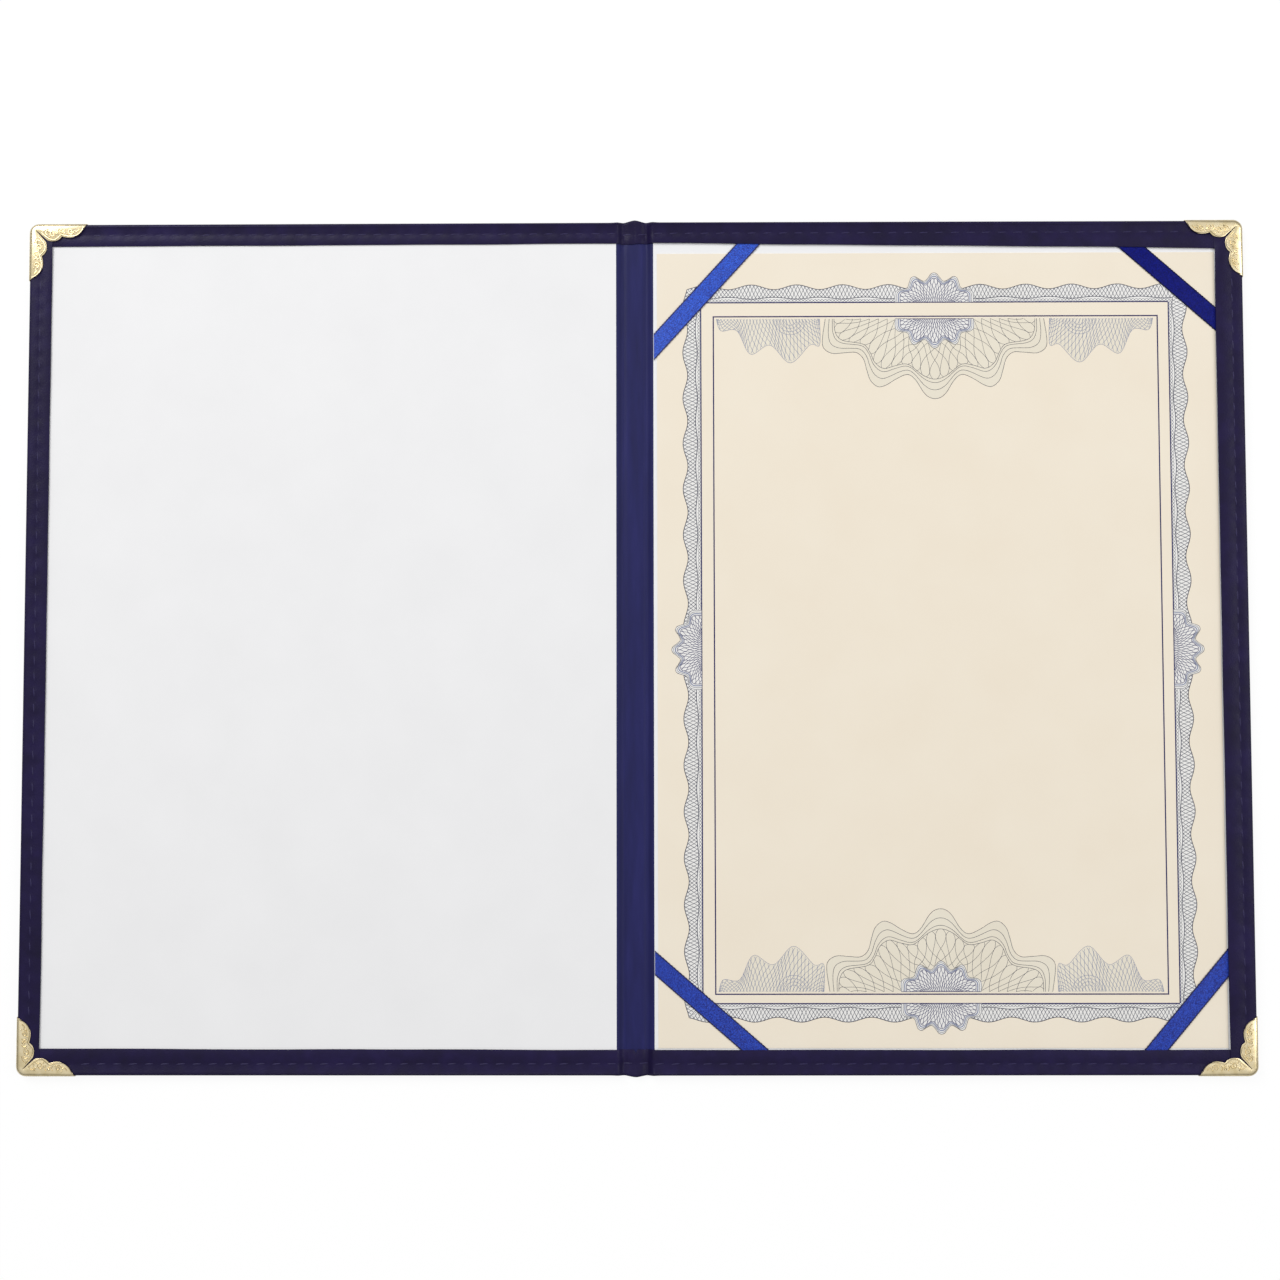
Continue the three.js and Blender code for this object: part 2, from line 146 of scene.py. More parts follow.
def cut(piece, point, normal, test):
    """Cuts the faces that pass a test along a plane."""
    choose(piece, "faces", test)
    bpy.ops.mesh.bisect(plane_co=point, plane_no=normal)


def join(pieces, name):
    """Joins pieces into one, under one name."""
    clear_selection()
    for piece in pieces:
        piece.select_set(True)
    bpy.context.view_layer.objects.active = pieces[0]
    bpy.ops.object.join()
    return named(pieces[0], name)


def face_up(piece):
    """Turns the faces of a sheet to the sky."""
    focus(piece)
    bpy.ops.object.mode_set(mode="EDIT")
    bpy.ops.mesh.select_all(action="SELECT")
    bpy.ops.mesh.normals_make_consistent(inside=False)
    bpy.ops.object.mode_set(mode="OBJECT")
    if piece.data.polygons[0].normal.z < 0:
        piece.data.flip_normals()


def drawn(name, lines, radius, resolution=0):
    """Round lines through points (x, y), level with the table, as a mesh."""
    curve = bpy.data.curves.new(name, "CURVE")
    curve.dimensions = "3D"
    curve.bevel_depth = radius
    curve.bevel_resolution = resolution
    for line in lines:
        spline = curve.splines.new("POLY")
        spline.points.add(len(line) - 1)
        for point, (x, y) in zip(spline.points, line):
            point.co = (x, y, 0, 1)
    piece = bpy.data.objects.new(name, curve)
    bpy.context.collection.objects.link(piece)
    focus(piece)
    bpy.ops.object.convert(target="MESH")
    return named(piece, name)


# %% [markdown]
# ## Helpers for finishes
# Every finish is a small node tree on the Principled shader. Patterns read Object coordinates,
# which equal the frame's metres, so a scale of 1000 is one repeat for each millimetre.

# %% Helpers for materials
def srgb(red, green, blue):
    """A colour as seen on screen, turned into the linear values that the shader wants."""
    linear = []
    for value in (red, green, blue):
        part = value / 255
        linear.append(part / 12.92 if part <= 0.04045 else ((part + 0.055) / 1.055) ** 2.4)
    return (*linear, 1.0)


class Tree:
    """Adds nodes to a material or world, with inputs given by name, or by number as in i0."""

    def __init__(self, owner):
        owner.use_nodes = True
        self.owner = owner
        self.nodes = owner.node_tree.nodes
        self.links = owner.node_tree.links

    def fill(self, node, inputs):
        """Joins each input to another node's output, or sets its value."""
        for key, value in inputs.items():
            numbered = key[0] == "i" and key[1:].isdigit()
            socket = node.inputs[int(key[1:]) if numbered else key.replace("_", " ")]
            if isinstance(value, bpy.types.NodeSocket):
                self.links.new(value, socket)
            else:
                socket.default_value = value

    def add(self, kind, settings=None, **inputs):
        node = self.nodes.new(kind)
        for key, value in (settings or {}).items():
            setattr(node, key, value)
        self.fill(node, inputs)
        return node

    def finish(self, **inputs):
        """Fills the shader's own inputs and gives the material."""
        self.fill(self.nodes["Principled BSDF"], inputs)
        return self.owner

    def place(self):
        return self.add("ShaderNodeTexCoord").outputs["Object"]

    def stretched(self, scale, turn=0.0):
        turned = {"Scale": scale, "Rotation": (0, 0, turn)}
        return self.add("ShaderNodeMapping", Vector=self.place(), **turned).outputs["Vector"]

    def noise(self, scale, detail=3.0, where=None):
        measures = {"Scale": scale, "Detail": detail, "Roughness": 0.55}
        node = self.add("ShaderNodeTexNoise", Vector=where or self.place(), **measures)
        return node.outputs["Fac"]

    def cells(self, scale):
        node = self.add(
            "ShaderNodeTexVoronoi", {"feature": "SMOOTH_F1"}, Vector=self.place(), Scale=scale
        )
        return node.outputs["Distance"]

    def math(self, operation, first, second=0.0):
        return self.add("ShaderNodeMath", {"operation": operation}, i0=first, i1=second).outputs[0]

    def ramp(self, factor, stops):
        node = self.add("ShaderNodeValToRGB", Fac=factor)
        ramp = node.color_ramp
        while len(ramp.elements) < len(stops):
            ramp.elements.new(0.5)
        for element, (position, colour) in zip(ramp.elements, stops):
            element.position = position
            element.color = colour
        return node.outputs["Color"]

    def bump(self, height, strength, distance, before=None):
        node = self.add("ShaderNodeBump", Height=height, Strength=strength, Distance=distance)
        if before is not None:
            self.links.new(before, node.inputs["Normal"])
        return node.outputs["Normal"]


def new_finish(name, roughness, metallic=0.0, specular=0.5):
    tree = Tree(bpy.data.materials.new(name))
    tree.finish(Roughness=roughness, Metallic=metallic, Specular_IOR_Level=specular)
    return tree


def bare_tree(owner):
    tree = Tree(owner)
    tree.nodes.clear()
    return tree


def paint(piece, material):
    piece.data.materials.clear()
    piece.data.materials.append(material)


def dress(node, material):
    """Gives a node of the solid model its finish."""
    for material_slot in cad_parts[node].material_slots:
        material_slot.material = material


# %% [markdown]
# ## Camera
# The photograph looks straight down from a little below the middle of the page, so the camera
# hangs about two thirds of a metre up, over that point.

# %% Camera
CAMERA_PLACE = Vector((6.18, -33.21, 666.59)) * MM
CAMERA_TURN = (2.988, 0.381, -0.089)

bpy.ops.object.camera_add(location=CAMERA_PLACE)
camera = named(bpy.context.object, "camera")
camera.rotation_euler = [math.radians(angle) for angle in CAMERA_TURN]
camera.data.lens = 50
camera.data.sensor_width = 36
camera.data.clip_start = 0.01
bpy.context.scene.camera = camera
bpy.context.scene.view_settings.view_transform = "Standard"

# %% [markdown]
# ## Table
# The cover lies on plain white. White paint is mixed with a glow that only the camera sees, which
# keeps the ground white without adding light to the object, and lets its shadow show.

# %% Table
TABLE_SIZE = 6
TABLE_DROP = 0.05 * MM
TABLE_WHITE = 0.9
TABLE_GLOW = 0.88
GLOW_LEVEL = 1.03

bpy.ops.mesh.primitive_plane_add(size=TABLE_SIZE, location=(0, 0, -TABLE_DROP))
table = named(bpy.context.object, "table")
table_paint = bpy.data.materials.new("table_white")
tree = bare_tree(table_paint)
to_camera = tree.add("ShaderNodeLightPath").outputs["Is Camera Ray"]
shade = tree.add("ShaderNodeBsdfDiffuse", Color=(TABLE_WHITE, TABLE_WHITE, TABLE_WHITE, 1))
glow = tree.add("ShaderNodeEmission", Strength=GLOW_LEVEL)
share = tree.math("MULTIPLY", to_camera, TABLE_GLOW)
mix = tree.add("ShaderNodeMixShader", i0=share, i1=shade.outputs[0], i2=glow.outputs[0])
tree.add("ShaderNodeOutputMaterial", Surface=mix.outputs[0])
table.data.materials.append(table_paint)

# %% [markdown]
# ## World
# The world is white to the camera and gives an even, plain light. Shiny surfaces see a sky that is
# dimmer near the horizon, which gives brass and satin something to reflect.

# %% World
WORLD_LIGHT = 0.395
GLOSS = {"From_Min": 0.3, "From_Max": 0.95, "To_Min": 0.24, "To_Max": 0.82}

world = bpy.data.worlds.new("studio")
bpy.context.scene.world = world
tree = bare_tree(world)
split = tree.add("ShaderNodeSeparateXYZ", Vector=tree.add("ShaderNodeTexCoord").outputs["Generated"])
gloss = tree.add("ShaderNodeMapRange", Value=split.outputs["Z"], **GLOSS)
ray = tree.add("ShaderNodeLightPath")
plain = tree.add(
    "ShaderNodeMix", Factor=ray.outputs["Is Glossy Ray"], A=WORLD_LIGHT, B=gloss.outputs["Result"]
)
seen = tree.add(
    "ShaderNodeMix", Factor=ray.outputs["Is Camera Ray"], A=plain.outputs["Result"], B=1.0
)
sky = tree.add("ShaderNodeBackground", Color=(1, 1, 1, 1), Strength=seen.outputs["Result"])
tree.add("ShaderNodeOutputWorld", Surface=sky.outputs[0])

# %% [markdown]
# ## Lamps
# Two large, soft lamps stand at the far left and on the right. Their level is plain: white paper
# comes out just under white. A low specular factor keeps their glare off the leather.

# %% Lamps
LAMPS = {
    "lamp_far_left": {"place": (-0.9, 1.1, 1.3), "size": 1.0, "power": 21, "shine": 0.15},
    "lamp_right": {"place": (1.3, 0.2, 1.2), "size": 1.0, "power": 9, "shine": 0.4},
}
for lamp_name, lamp in LAMPS.items():
    bpy.ops.object.light_add(type="AREA", location=lamp["place"])
    light = bpy.context.object
    light.name = lamp_name
    light.data.size = lamp["size"]
    light.data.energy = lamp["power"]
    light.rotation_euler = (-Vector(lamp["place"])).to_track_quat("-Z", "Y").to_euler()
    light.data.specular_factor = lamp["shine"]

print("camera at", [round(value, 3) for value in CAMERA_PLACE], "and", len(LAMPS), "lamps")

# %% [markdown]
# ## The leather skin
# On the real cover one sheet wraps both panels and the spine. Its edges are rolled round the
# boards and turned in as bands, over the papers and the ribbons. A panel's half of that sheet is
# made here from a block: the outer corners and long edges are bevelled, the top is cut along the
# window and opened, and the open shell gets its thickness inwards. The two halves meet at the
# middle of the spine.

# %% Measures of the bands
# widths at the spine and at the outer corners, in millimetres, as in the solid model
BANDS = {
    1: {"top": (7.8, 10.5), "side": (10.5, 10.1), "bottom": (9.4, 9.3)},
    -1: {"top": (8.0, 8.5), "side": (8.6, 8.4), "bottom": (9.4, 9.9)},
}
CORNER_RADIUS = 3.4 * MM
FOLD_RADIUS = 1.3 * MM
STITCH_INSET = 4.3 * MM
STITCH_Y = HALF_HEIGHT - STITCH_INSET
STITCH_X = HALF_WIDTH - STITCH_INSET
GROOVE_HALF = 0.55 * MM
GROOVE_DEPTH = 0.16 * MM
LAP_STEP = 0.3 * MM
LAP_WIDTH = 0.25 * MM


def window_corners(side):
    """The four corners of a panel's window, by the words top or bottom and spine or outer."""
    corners = {}
    for end, word, place in ((1, "top", 0), (-1, "bottom", 1)):
        at_spine, outside = BANDS[side][word]
        outer_x = HALF_WIDTH - BANDS[side]["side"][place] * MM
        spine_place = (side * LINER_START, end * (HALF_HEIGHT - at_spine * MM), 0)
        corners[word + "_spine"] = Vector(spine_place)
        corners[word + "_outer"] = Vector((side * outer_x, end * (HALF_HEIGHT - outside * MM), 0))
    return corners


# %% [markdown]
# ### The open shell
# The block could also be built face by face, but two bevels give the round corners and the rolled
# edges at once. The window is then cut along the bands' inner edges and its faces are deleted.

# %% Cut the block into an open shell
def leather_block(side):
    top = BAND_TOP[side]
    middle = (side * HALF_WIDTH / 2, 0, (SKIN_BOTTOM + top) / 2)
    size = (HALF_WIDTH, 2 * HALF_HEIGHT, top - SKIN_BOTTOM)
    clear_selection()
    bpy.ops.mesh.primitive_cube_add(size=1, location=middle, scale=size)
    piece = bpy.context.object
    place_in_mesh(piece)
    bpy.ops.object.mode_set(mode="EDIT")
    choose(piece, "faces", lambda face: abs(face.calc_center_median().x) < TINY)
    bpy.ops.mesh.delete(type="FACE")

    def outer_corner(edge):
        start, end = (vertex.co for vertex in edge.verts)
        return abs(start.z - end.z) > top / 2 and abs(abs(start.x) - HALF_WIDTH) < TINY

    def long_edge(edge):
        start, end = (vertex.co for vertex in edge.verts)
        return abs(start.z - end.z) < TINY and max(abs(start.x), abs(end.x)) > TINY

    choose(piece, "edges", outer_corner)
    bpy.ops.mesh.bevel(offset=CORNER_RADIUS, segments=8, affect="EDGES")
    choose(piece, "edges", long_edge)
    bpy.ops.mesh.bevel(offset=FOLD_RADIUS, segments=5, affect="EDGES")
    return piece


def on_top(side):
    level = BAND_TOP[side] - TINY
    return lambda face: face.normal.z > 0.99 and face.calc_center_median().z > level


def outer_edge(side):
    """The upper and lower end of the outer band's inner edge."""
    corners = window_corners(side)
    return corners["top_outer"], corners["bottom_outer"]


def edge_normal(start, end):
    """Across an edge, level with the table."""
    along = (end - start).normalized()
    return Vector((-along.y, along.x, 0))


def open_window(piece, side):
    top_spine, top_outer, bottom_spine, bottom_outer = window_corners(side).values()
    starts = (top_spine, bottom_spine, top_outer)
    ends = (top_outer, bottom_outer, bottom_outer)
    for start, end in zip(starts, ends):
        cut(piece, start, edge_normal(start, end), on_top(side))
    outer_x = min(abs(top_outer.x), abs(bottom_outer.x))
    low = max(bottom_spine.y, bottom_outer.y)
    high = min(top_spine.y, top_outer.y)

    def in_window(face):
        middle = face.calc_center_median()
        return on_top(side)(face) and abs(middle.x) < outer_x and low < middle.y < high

    choose(piece, "faces", in_window)
    bpy.ops.mesh.delete(type="FACE")


# %% [markdown]
# ### Cuts for the shape
# The stitch line needs a row of vertices of its own, so the bands are cut along three parallel
# lines, and the middle one is pressed down later. Across the spine the sheet is cut into narrow
# strips, so that it can dip into the crease and rise over the puffed end of the spine.

# %% Cut the lines that shape the bands and the crease
CREASE_CUTS = [0.7, 1.4, 2.1, 2.7, 3.2, 3.6, 4.0, 4.4, 4.8, 5.3, 5.8, 6.3, 6.8, 7.4, 8.2, 9.4]
CREASE_END = 12 * MM
WAVE_STEP = 9 * MM


def cut_bands(piece, side):
    start, end = outer_edge(side)
    side_x = min(abs(start.x), abs(end.x))
    for offset in (-GROOVE_HALF, 0, GROOVE_HALF):
        across = STITCH_Y + offset
        out = STITCH_X + offset
        cut(piece, (0, across, 0), (0, 1, 0), on_top(side))
        cut(piece, (0, -across, 0), (0, 1, 0), on_top(side))
        cut(piece, (side * out, 0, 0), (1, 0, 0), on_top(side))
    shift = Vector((-side * LAP_WIDTH, 0, 0))
    cut(piece, start + shift, edge_normal(start, end), on_top(side))
    for place in CREASE_CUTS:
        cut(piece, (side * place * MM, 0, 0), (1, 0, 0), lambda face: True)
    steps = int((side_x - CREASE_END) / WAVE_STEP)
    for i in range(1, steps):
        cut(piece, (side * (CREASE_END + i * WAVE_STEP), 0, 0), (1, 0, 0), on_top(side))
    steps = int(HALF_HEIGHT / WAVE_STEP)
    for i in range(-steps + 2, steps - 1):
        cut(piece, (0, i * WAVE_STEP, 0), (0, 1, 0), on_top(side))


# %% [markdown]
# ### The sheet's surface
# Real leather over board is never quite flat. The bands sway by a few hundredths of a millimetre,
# the outer band laps over the long ones, and the rolled end of the spine swells past the edge.
# Each of these is a small formula, and every vertex is moved by their sum.

# %% Shape of the sheet near the spine
END_SWELL = {1: 0.6 * MM, -1: 0.4 * MM}
END_PEAK = {1: 0.7 * MM, -1: 0.5 * MM}
SWELL_REACH = 8.0 * MM
PEAK_REACH = 2.2 * MM
END_DIP = 0.06 * MM
VALLEY_X = 4.1 * MM
VALLEY_TOP = 1.95 * MM
PUFF_TOP = 2.5 * MM
PLATEAU_X = 2.2 * MM
BAND_START = 6.9 * MM
DIP_REACH = 0.9 * MM
SPINE_BAND = 7.9 * MM
ROLL_START = 5 * MM
ROLL_LENGTH = 4 * MM
BULGE_REACH = 22 * MM
SWAY = 0.07 * MM
DRIFT = 0.2 * MM
DRIFT_START = 10 * MM
ROW_MARGIN = 2 * MM
HEM_REACH = 1 * MM


def ease(value):
    value = max(0.0, min(1.0, value))
    return value * value * (3 - 2 * value)


def band_level(x, side):
    """Height of the band's top above the table, from the spine's middle outwards."""
    distance = abs(x)
    if distance < VALLEY_X:
        fall = ease((distance - PLATEAU_X) / (VALLEY_X - PLATEAU_X))
        return PUFF_TOP + (VALLEY_TOP - PUFF_TOP) * fall
    rise = ease((distance - VALLEY_X) / (BAND_START - VALLEY_X))
    return VALLEY_TOP + (BAND_TOP[side] - VALLEY_TOP) * rise


def sway(x, y, side):
    """Slow unevenness of the band's surface."""
    return SWAY * noise.noise(Vector((x * 45, y * 45, side * 3.0)))


def drift(along, across, seed):
    """Slow wandering of the bands' surface in its own plane."""
    return DRIFT * noise.noise(Vector((along * 30, seed, across * 9)))


def lap_edge(y, side):
    """How far from the spine the outer band's lapped edge lies, at a given height."""
    start, end = outer_edge(side)
    return abs(start.x + (end.x - start.x) * (y - start.y) / (end.y - start.y))


def sheet_level(x, y, side):
    """Height of the leather's top on the bands, without the stitch groove."""
    top = BAND_TOP[side] + sway(x, y, side)
    if abs(x) < lap_edge(y, side) - TINY:
        top -= LAP_STEP
    share = (top - SKIN_BOTTOM) / (BAND_TOP[side] - SKIN_BOTTOM)
    return SKIN_BOTTOM + share * (band_level(x, side) - SKIN_BOTTOM)


def end_bulge(x, y):
    """How far the rolled end of the spine swells past the edge."""
    end = 1 if y > 0 else -1
    swell = END_SWELL[end] * math.exp(-((x / SWELL_REACH) ** 2))
    peak = END_PEAK[end] * math.exp(-((x / PEAK_REACH) ** 2))
    dip = END_DIP * math.exp(-(((abs(x) - VALLEY_X) / DIP_REACH) ** 2))
    return end * (swell + peak - dip)


def shape_band(point, side):
    """Moves a vertex on top of the bands: level, stitch groove, drift and the spine's hem."""
    x, y = point.x, point.y
    reach, height = abs(x), abs(y)
    point.z = sheet_level(x, y, side)
    on_long_row = abs(height - STITCH_Y) < TINY and reach < STITCH_X + TINY
    on_side_row = abs(reach - STITCH_X) < TINY and height < STITCH_Y
    if on_long_row or on_side_row:
        point.z -= GROOVE_DEPTH
    off_rows = height < STITCH_Y - ROW_MARGIN and reach < STITCH_X - ROW_MARGIN
    if reach > DRIFT_START and off_rows:
        point.y += drift(x, y, 7.0)
        point.x += drift(y, x, 2.0)
    hem = HALF_HEIGHT - SPINE_BAND
    if reach < TINY and height < hem + HEM_REACH:
        point.y = math.copysign(hem, y)


def shape_sheet(piece, side):
    """Moves every vertex: the bands, the crease and the bulge at the spine's ends."""
    top = BAND_TOP[side]
    for vertex in piece.data.vertices:
        point = vertex.co
        x, y = point.x, point.y
        if point.z > top - TINY:
            shape_band(point, side)
        elif abs(x) < BAND_START:
            share = (point.z - SKIN_BOTTOM) / (top - SKIN_BOTTOM)
            point.z = SKIN_BOTTOM + share * (band_level(x, side) - SKIN_BOTTOM)
        edge = ease((abs(y) - (HALF_HEIGHT - ROLL_START)) / ROLL_LENGTH)
        if edge > 0 and abs(x) < BULGE_REACH:
            point.y += edge * end_bulge(x, y)


def bend_at_crease(piece, side):
    """Moves the object's place into its mesh and prints its number of faces."""
    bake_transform(piece)
    tell(piece)


def cover_skin(side):
    piece = leather_block(side)
    open_window(piece, side)
    cut_bands(piece, side)
    bpy.ops.object.mode_set(mode="OBJECT")
    shape_sheet(piece, side)
    modifier(piece, "SOLIDIFY", thickness=SKIN * 0.95, offset=-1, use_even_offset=True)
    limit = {"limit_method": "ANGLE", "angle_limit": math.radians(62)}
    modifier(piece, "BEVEL", width=0.14 * MM, segments=2, **limit)
    smooth(piece, 40)
    return named(piece, f"leather_{WORD[side]}")


leather = {side: cover_skin(side) for side in (1, -1)}
for side, piece in leather.items():
    bend_at_crease(piece, side)
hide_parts("right_cover_skin", "spine_skin")
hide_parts("left_cover_skin")

# %% [markdown]
# ## Leather finish
# Leather-look sheet has a fine pebbled grain and a soft shine, and it puckers a little at every
# stitch. The grain is a cell pattern under half a millimetre wide, on a slower mottle. The
# puckers are waves along the stitch line, faded out to both sides of it, so they need no extra
# vertices.

# %% Leather material
STITCH_PITCH = 5.9 * MM
PUCKER_REACH = 1.5 * MM


def pucker(tree):
    """Height of the puckers: a wave along each stitch line, strongest on the line."""
    split = tree.add("ShaderNodeSeparateXYZ", Vector=tree.place())
    size_x = tree.math("ABSOLUTE", split.outputs["X"])
    size_y = tree.math("ABSOLUTE", split.outputs["Y"])
    waves = []
    for along, across, line, limit, other in (
        (size_x, size_y, STITCH_Y, STITCH_X, size_x),
        (size_y, size_x, STITCH_X, STITCH_Y, size_y),
    ):
        wave = tree.math("COSINE", tree.math("MULTIPLY", along, 2 * math.pi / STITCH_PITCH))
        off_line = tree.math("DIVIDE", tree.math("SUBTRACT", across, line), PUCKER_REACH)
        fade = tree.math("EXPONENT", tree.math("MULTIPLY", tree.math("POWER", off_line, 2.0), -1.0))
        inside = tree.math("LESS_THAN", other, limit)
        waves.append(tree.math("MULTIPLY", tree.math("MULTIPLY", wave, fade), inside))
    return tree.math("ADD", *waves)


def leather_finish():
    tree = new_finish("navy_leather", roughness=0.44, specular=0.16)
    mottle = tree.noise(160.0, detail=4.0)
    broad = tree.noise(22.0, detail=2.0)
    tone = tree.math("ADD", tree.math("MULTIPLY", mottle, 0.6), tree.math("MULTIPLY", broad, 0.4))
    colour = tree.ramp(
        tone, [(0.25, srgb(20, 14, 42)), (0.5, srgb(26, 18, 56)), (0.8, srgb(36, 27, 74))]
    )
    worn = tree.math("MULTIPLY_ADD", tree.noise(420.0), 0.22)
    tree.fill(worn.node, {"i2": 0.33})
    grain = tree.bump(tree.cells(2300.0), 0.45, 0.12 * MM)
    folds = tree.bump(tree.noise(260.0, detail=5.0), 0.5, 0.1 * MM, before=grain)
    stitched = tree.bump(pucker(tree), 0.6, 0.1 * MM, before=folds)
    return tree.finish(Base_Color=colour, Roughness=worn, Normal=stitched)


leather_paint = leather_finish()
for piece in leather.values():
    paint(piece, leather_paint)

# %% [markdown]
# ## The lining of the spine
# A navy strip, bluer than the skin, covers the spine from liner to liner. It lies over the
# narrow spine board and dips at both creases. Each half is a grid whose points are lifted to the
# right height, then thickened downwards.

# %% Lining halves
LINING_RIDGE = 2.9 * MM
LINING_VALLEY = 4.2 * MM
LINING_LOW = 1.8 * MM
LINING_THICK = 0.28 * MM
LIFT = 0.02 * MM
RIPPLE = 0.03 * MM


def lining_level(x):
    distance = abs(x)
    crest = SPINE_TOP + LIFT
    if distance < LINING_VALLEY:
        fall = ease((distance - LINING_RIDGE) / (LINING_VALLEY - LINING_RIDGE))
        return crest + (LINING_LOW - crest) * fall
    rise = ease((distance - LINING_VALLEY) / (LINER_START - LINING_VALLEY))
    return LINING_LOW + (LINER_TOP + LIFT - LINING_LOW) * rise


def lining_half(side):
    length = 2 * (HALF_HEIGHT - 2 * SKIN)
    clear_selection()
    bpy.ops.mesh.primitive_grid_add(x_subdivisions=28, y_subdivisions=120, size=1)
    piece = bpy.context.object
    for vertex in piece.data.vertices:
        x = side * (vertex.co.x + 0.5) * LINER_START
        y = vertex.co.y * length
        end = ease((abs(y) - (HALF_HEIGHT - 10 * MM)) / (5 * MM))
        level = lining_level(x)
        under_band = band_level(x, side) - SKIN - 0.05 * MM
        level = min(level, level + (under_band - level) * end)
        level += RIPPLE * noise.noise(Vector((x * 500, y * 60, 4.0)))
        vertex.co = (x, y, level)
    face_up(piece)
    modifier(piece, "SOLIDIFY", thickness=LINING_THICK, offset=-1)
    smooth(piece, 50)
    return named(piece, f"lining_{WORD[side]}")


lining = {side: lining_half(side) for side in (1, -1)}
for side, piece in lining.items():
    bend_at_crease(piece, side)
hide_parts("right_lining_strip", "spine_lining")
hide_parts("left_lining_strip")

# %% [markdown]
# ## Lining finish
# The strip is matt and shows faint streaks along the spine, with a grain finer than the skin's. A
# noise that is stretched eight times along Y gives the streaks, and a cell pattern the grain.

# %% Lining material
def lining_finish():
    tree = new_finish("navy_lining", roughness=0.55, specular=0.25)
    streaks = tree.noise(300.0, where=tree.stretched((1.0, 0.12, 1.0)))
    colour = tree.ramp(
        streaks, [(0.25, srgb(22, 23, 74)), (0.55, srgb(28, 29, 86)), (0.85, srgb(36, 36, 98))]
    )
    grain = tree.bump(tree.cells(2600.0), 0.35, 0.1 * MM)
    return tree.finish(Base_Color=colour, Normal=tree.bump(streaks, 0.3, 0.1 * MM, before=grain))


lining_paint = lining_finish()
for piece in lining.values():
    paint(piece, lining_paint)

# %% [markdown]
# ## Stitches
# A line of navy thread holds the turned-in bands, about 4 mm in from the edge. It also crosses
# both ends of the spine. One stitch is a flattened sphere. It is copied along each line, turned
# a little off the line as real stitches are, and every vertex is laid on the leather's groove.

# %% Stitches
STITCH_LENGTH = 3.3 * MM
STITCH_WIDTH = 0.55 * MM
STITCH_HEIGHT = 0.34 * MM
STITCH_SLANT = 4
CAP_REACH = 20 * MM


def stitch_rows(side):
    """Places and directions of a panel's stitches: both long bands and the outer one."""
    rows = []
    count = int((STITCH_X - CAP_REACH + STITCH_INSET) / STITCH_PITCH)
    for end in (1, -1):
        for i in range(count):
            rows.append((side * (i + 0.5) * STITCH_PITCH, end * STITCH_Y, 0))
    count = int(2 * (STITCH_Y - CAP_REACH + STITCH_INSET) / STITCH_PITCH)
    for i in range(count):
        rows.append((side * STITCH_X, (i - (count - 1) / 2) * STITCH_PITCH, 90))
    return rows


def stitches(side):
    clear_selection()
    bpy.ops.mesh.primitive_uv_sphere_add(segments=8, ring_count=5, radius=0.5)
    pattern = bpy.context.object
    pattern.rotation_euler = (0, math.radians(90), 0)
    place_in_mesh(pattern)
    pattern.scale = (STITCH_LENGTH, STITCH_WIDTH, STITCH_HEIGHT)
    place_in_mesh(pattern)
    copies = []
    for x, y, turn in stitch_rows(side):
        copy = pattern.copy()
        copy.data = pattern.data.copy()
        bpy.context.collection.objects.link(copy)
        slant = math.radians(turn + random.uniform(0.4, 1.6) * STITCH_SLANT)
        copy.data.transform(Matrix.Translation((x, y, 0)) @ Matrix.Rotation(slant, 4, "Z"))
        copies.append(copy)
    bpy.data.objects.remove(pattern)
    piece = join(copies, f"thread_{WORD[side]}")
    for vertex in piece.data.vertices:
        vertex.co.z += sheet_level(vertex.co.x, vertex.co.y, side) - 0.75 * GROOVE_DEPTH
    smooth(piece, 60)
    return piece


tree = new_finish("navy_thread", roughness=0.5, specular=0.35)
twist = tree.noise(3500.0, detail=2.0)
thread_paint = tree.finish(
    Base_Color=tree.ramp(twist, [(0.3, srgb(26, 20, 56)), (0.7, srgb(46, 38, 86))]),
    Normal=tree.bump(twist, 0.4, 0.08 * MM),
)

for side in (1, -1):
    piece = stitches(side)
    bend_at_crease(piece, side)
    paint(piece, thread_paint)

# %% [markdown]
# ## Papers and boards
# The liners, the certificate and the boards are flat sheets already, so the solid model's own
# nodes are kept and only get a finish. Paper is matt, with a faint mottle and a hint of fibre.

# %% Paper and board finishes
def paper_finish(name, dark, light, roughness):
    tree = new_finish(name, roughness, specular=0.15)
    mottle = tree.noise(35.0, detail=5.0)
    colour = tree.ramp(mottle, [(0.3, dark), (0.7, light)])
    fibres = tree.noise(1500.0, detail=3.0, where=tree.stretched((1.0, 0.35, 1.0), turn=0.4))
    return tree.finish(Base_Color=colour, Normal=tree.bump(fibres, 0.25, 0.03 * MM))


liner_paint = paper_finish("white_liner", srgb(243, 243, 244), srgb(246, 246, 247), 0.75)
page_paint = paper_finish("cream_paper", srgb(245, 234, 215), srgb(247, 237, 219), 0.7)
board_paint = paper_finish("grey_board", srgb(120, 114, 104), srgb(146, 140, 130), 0.95)
for node in ("left_liner", "right_liner"):
    dress(node, liner_paint)
for node in ("left_board", "right_board", "spine_board"):
    dress(node, board_paint)
dress("certificate", page_paint)

# %% [markdown]
# ## Printed ornament
# Security print is built from fine wavy lines that cross in a regular net, a guilloche. The
# solid model has its areas as thin plates. Here the plates get a pale tint, and the lines
# themselves are drawn over them. They come from a few formulas, so no line is placed by hand.

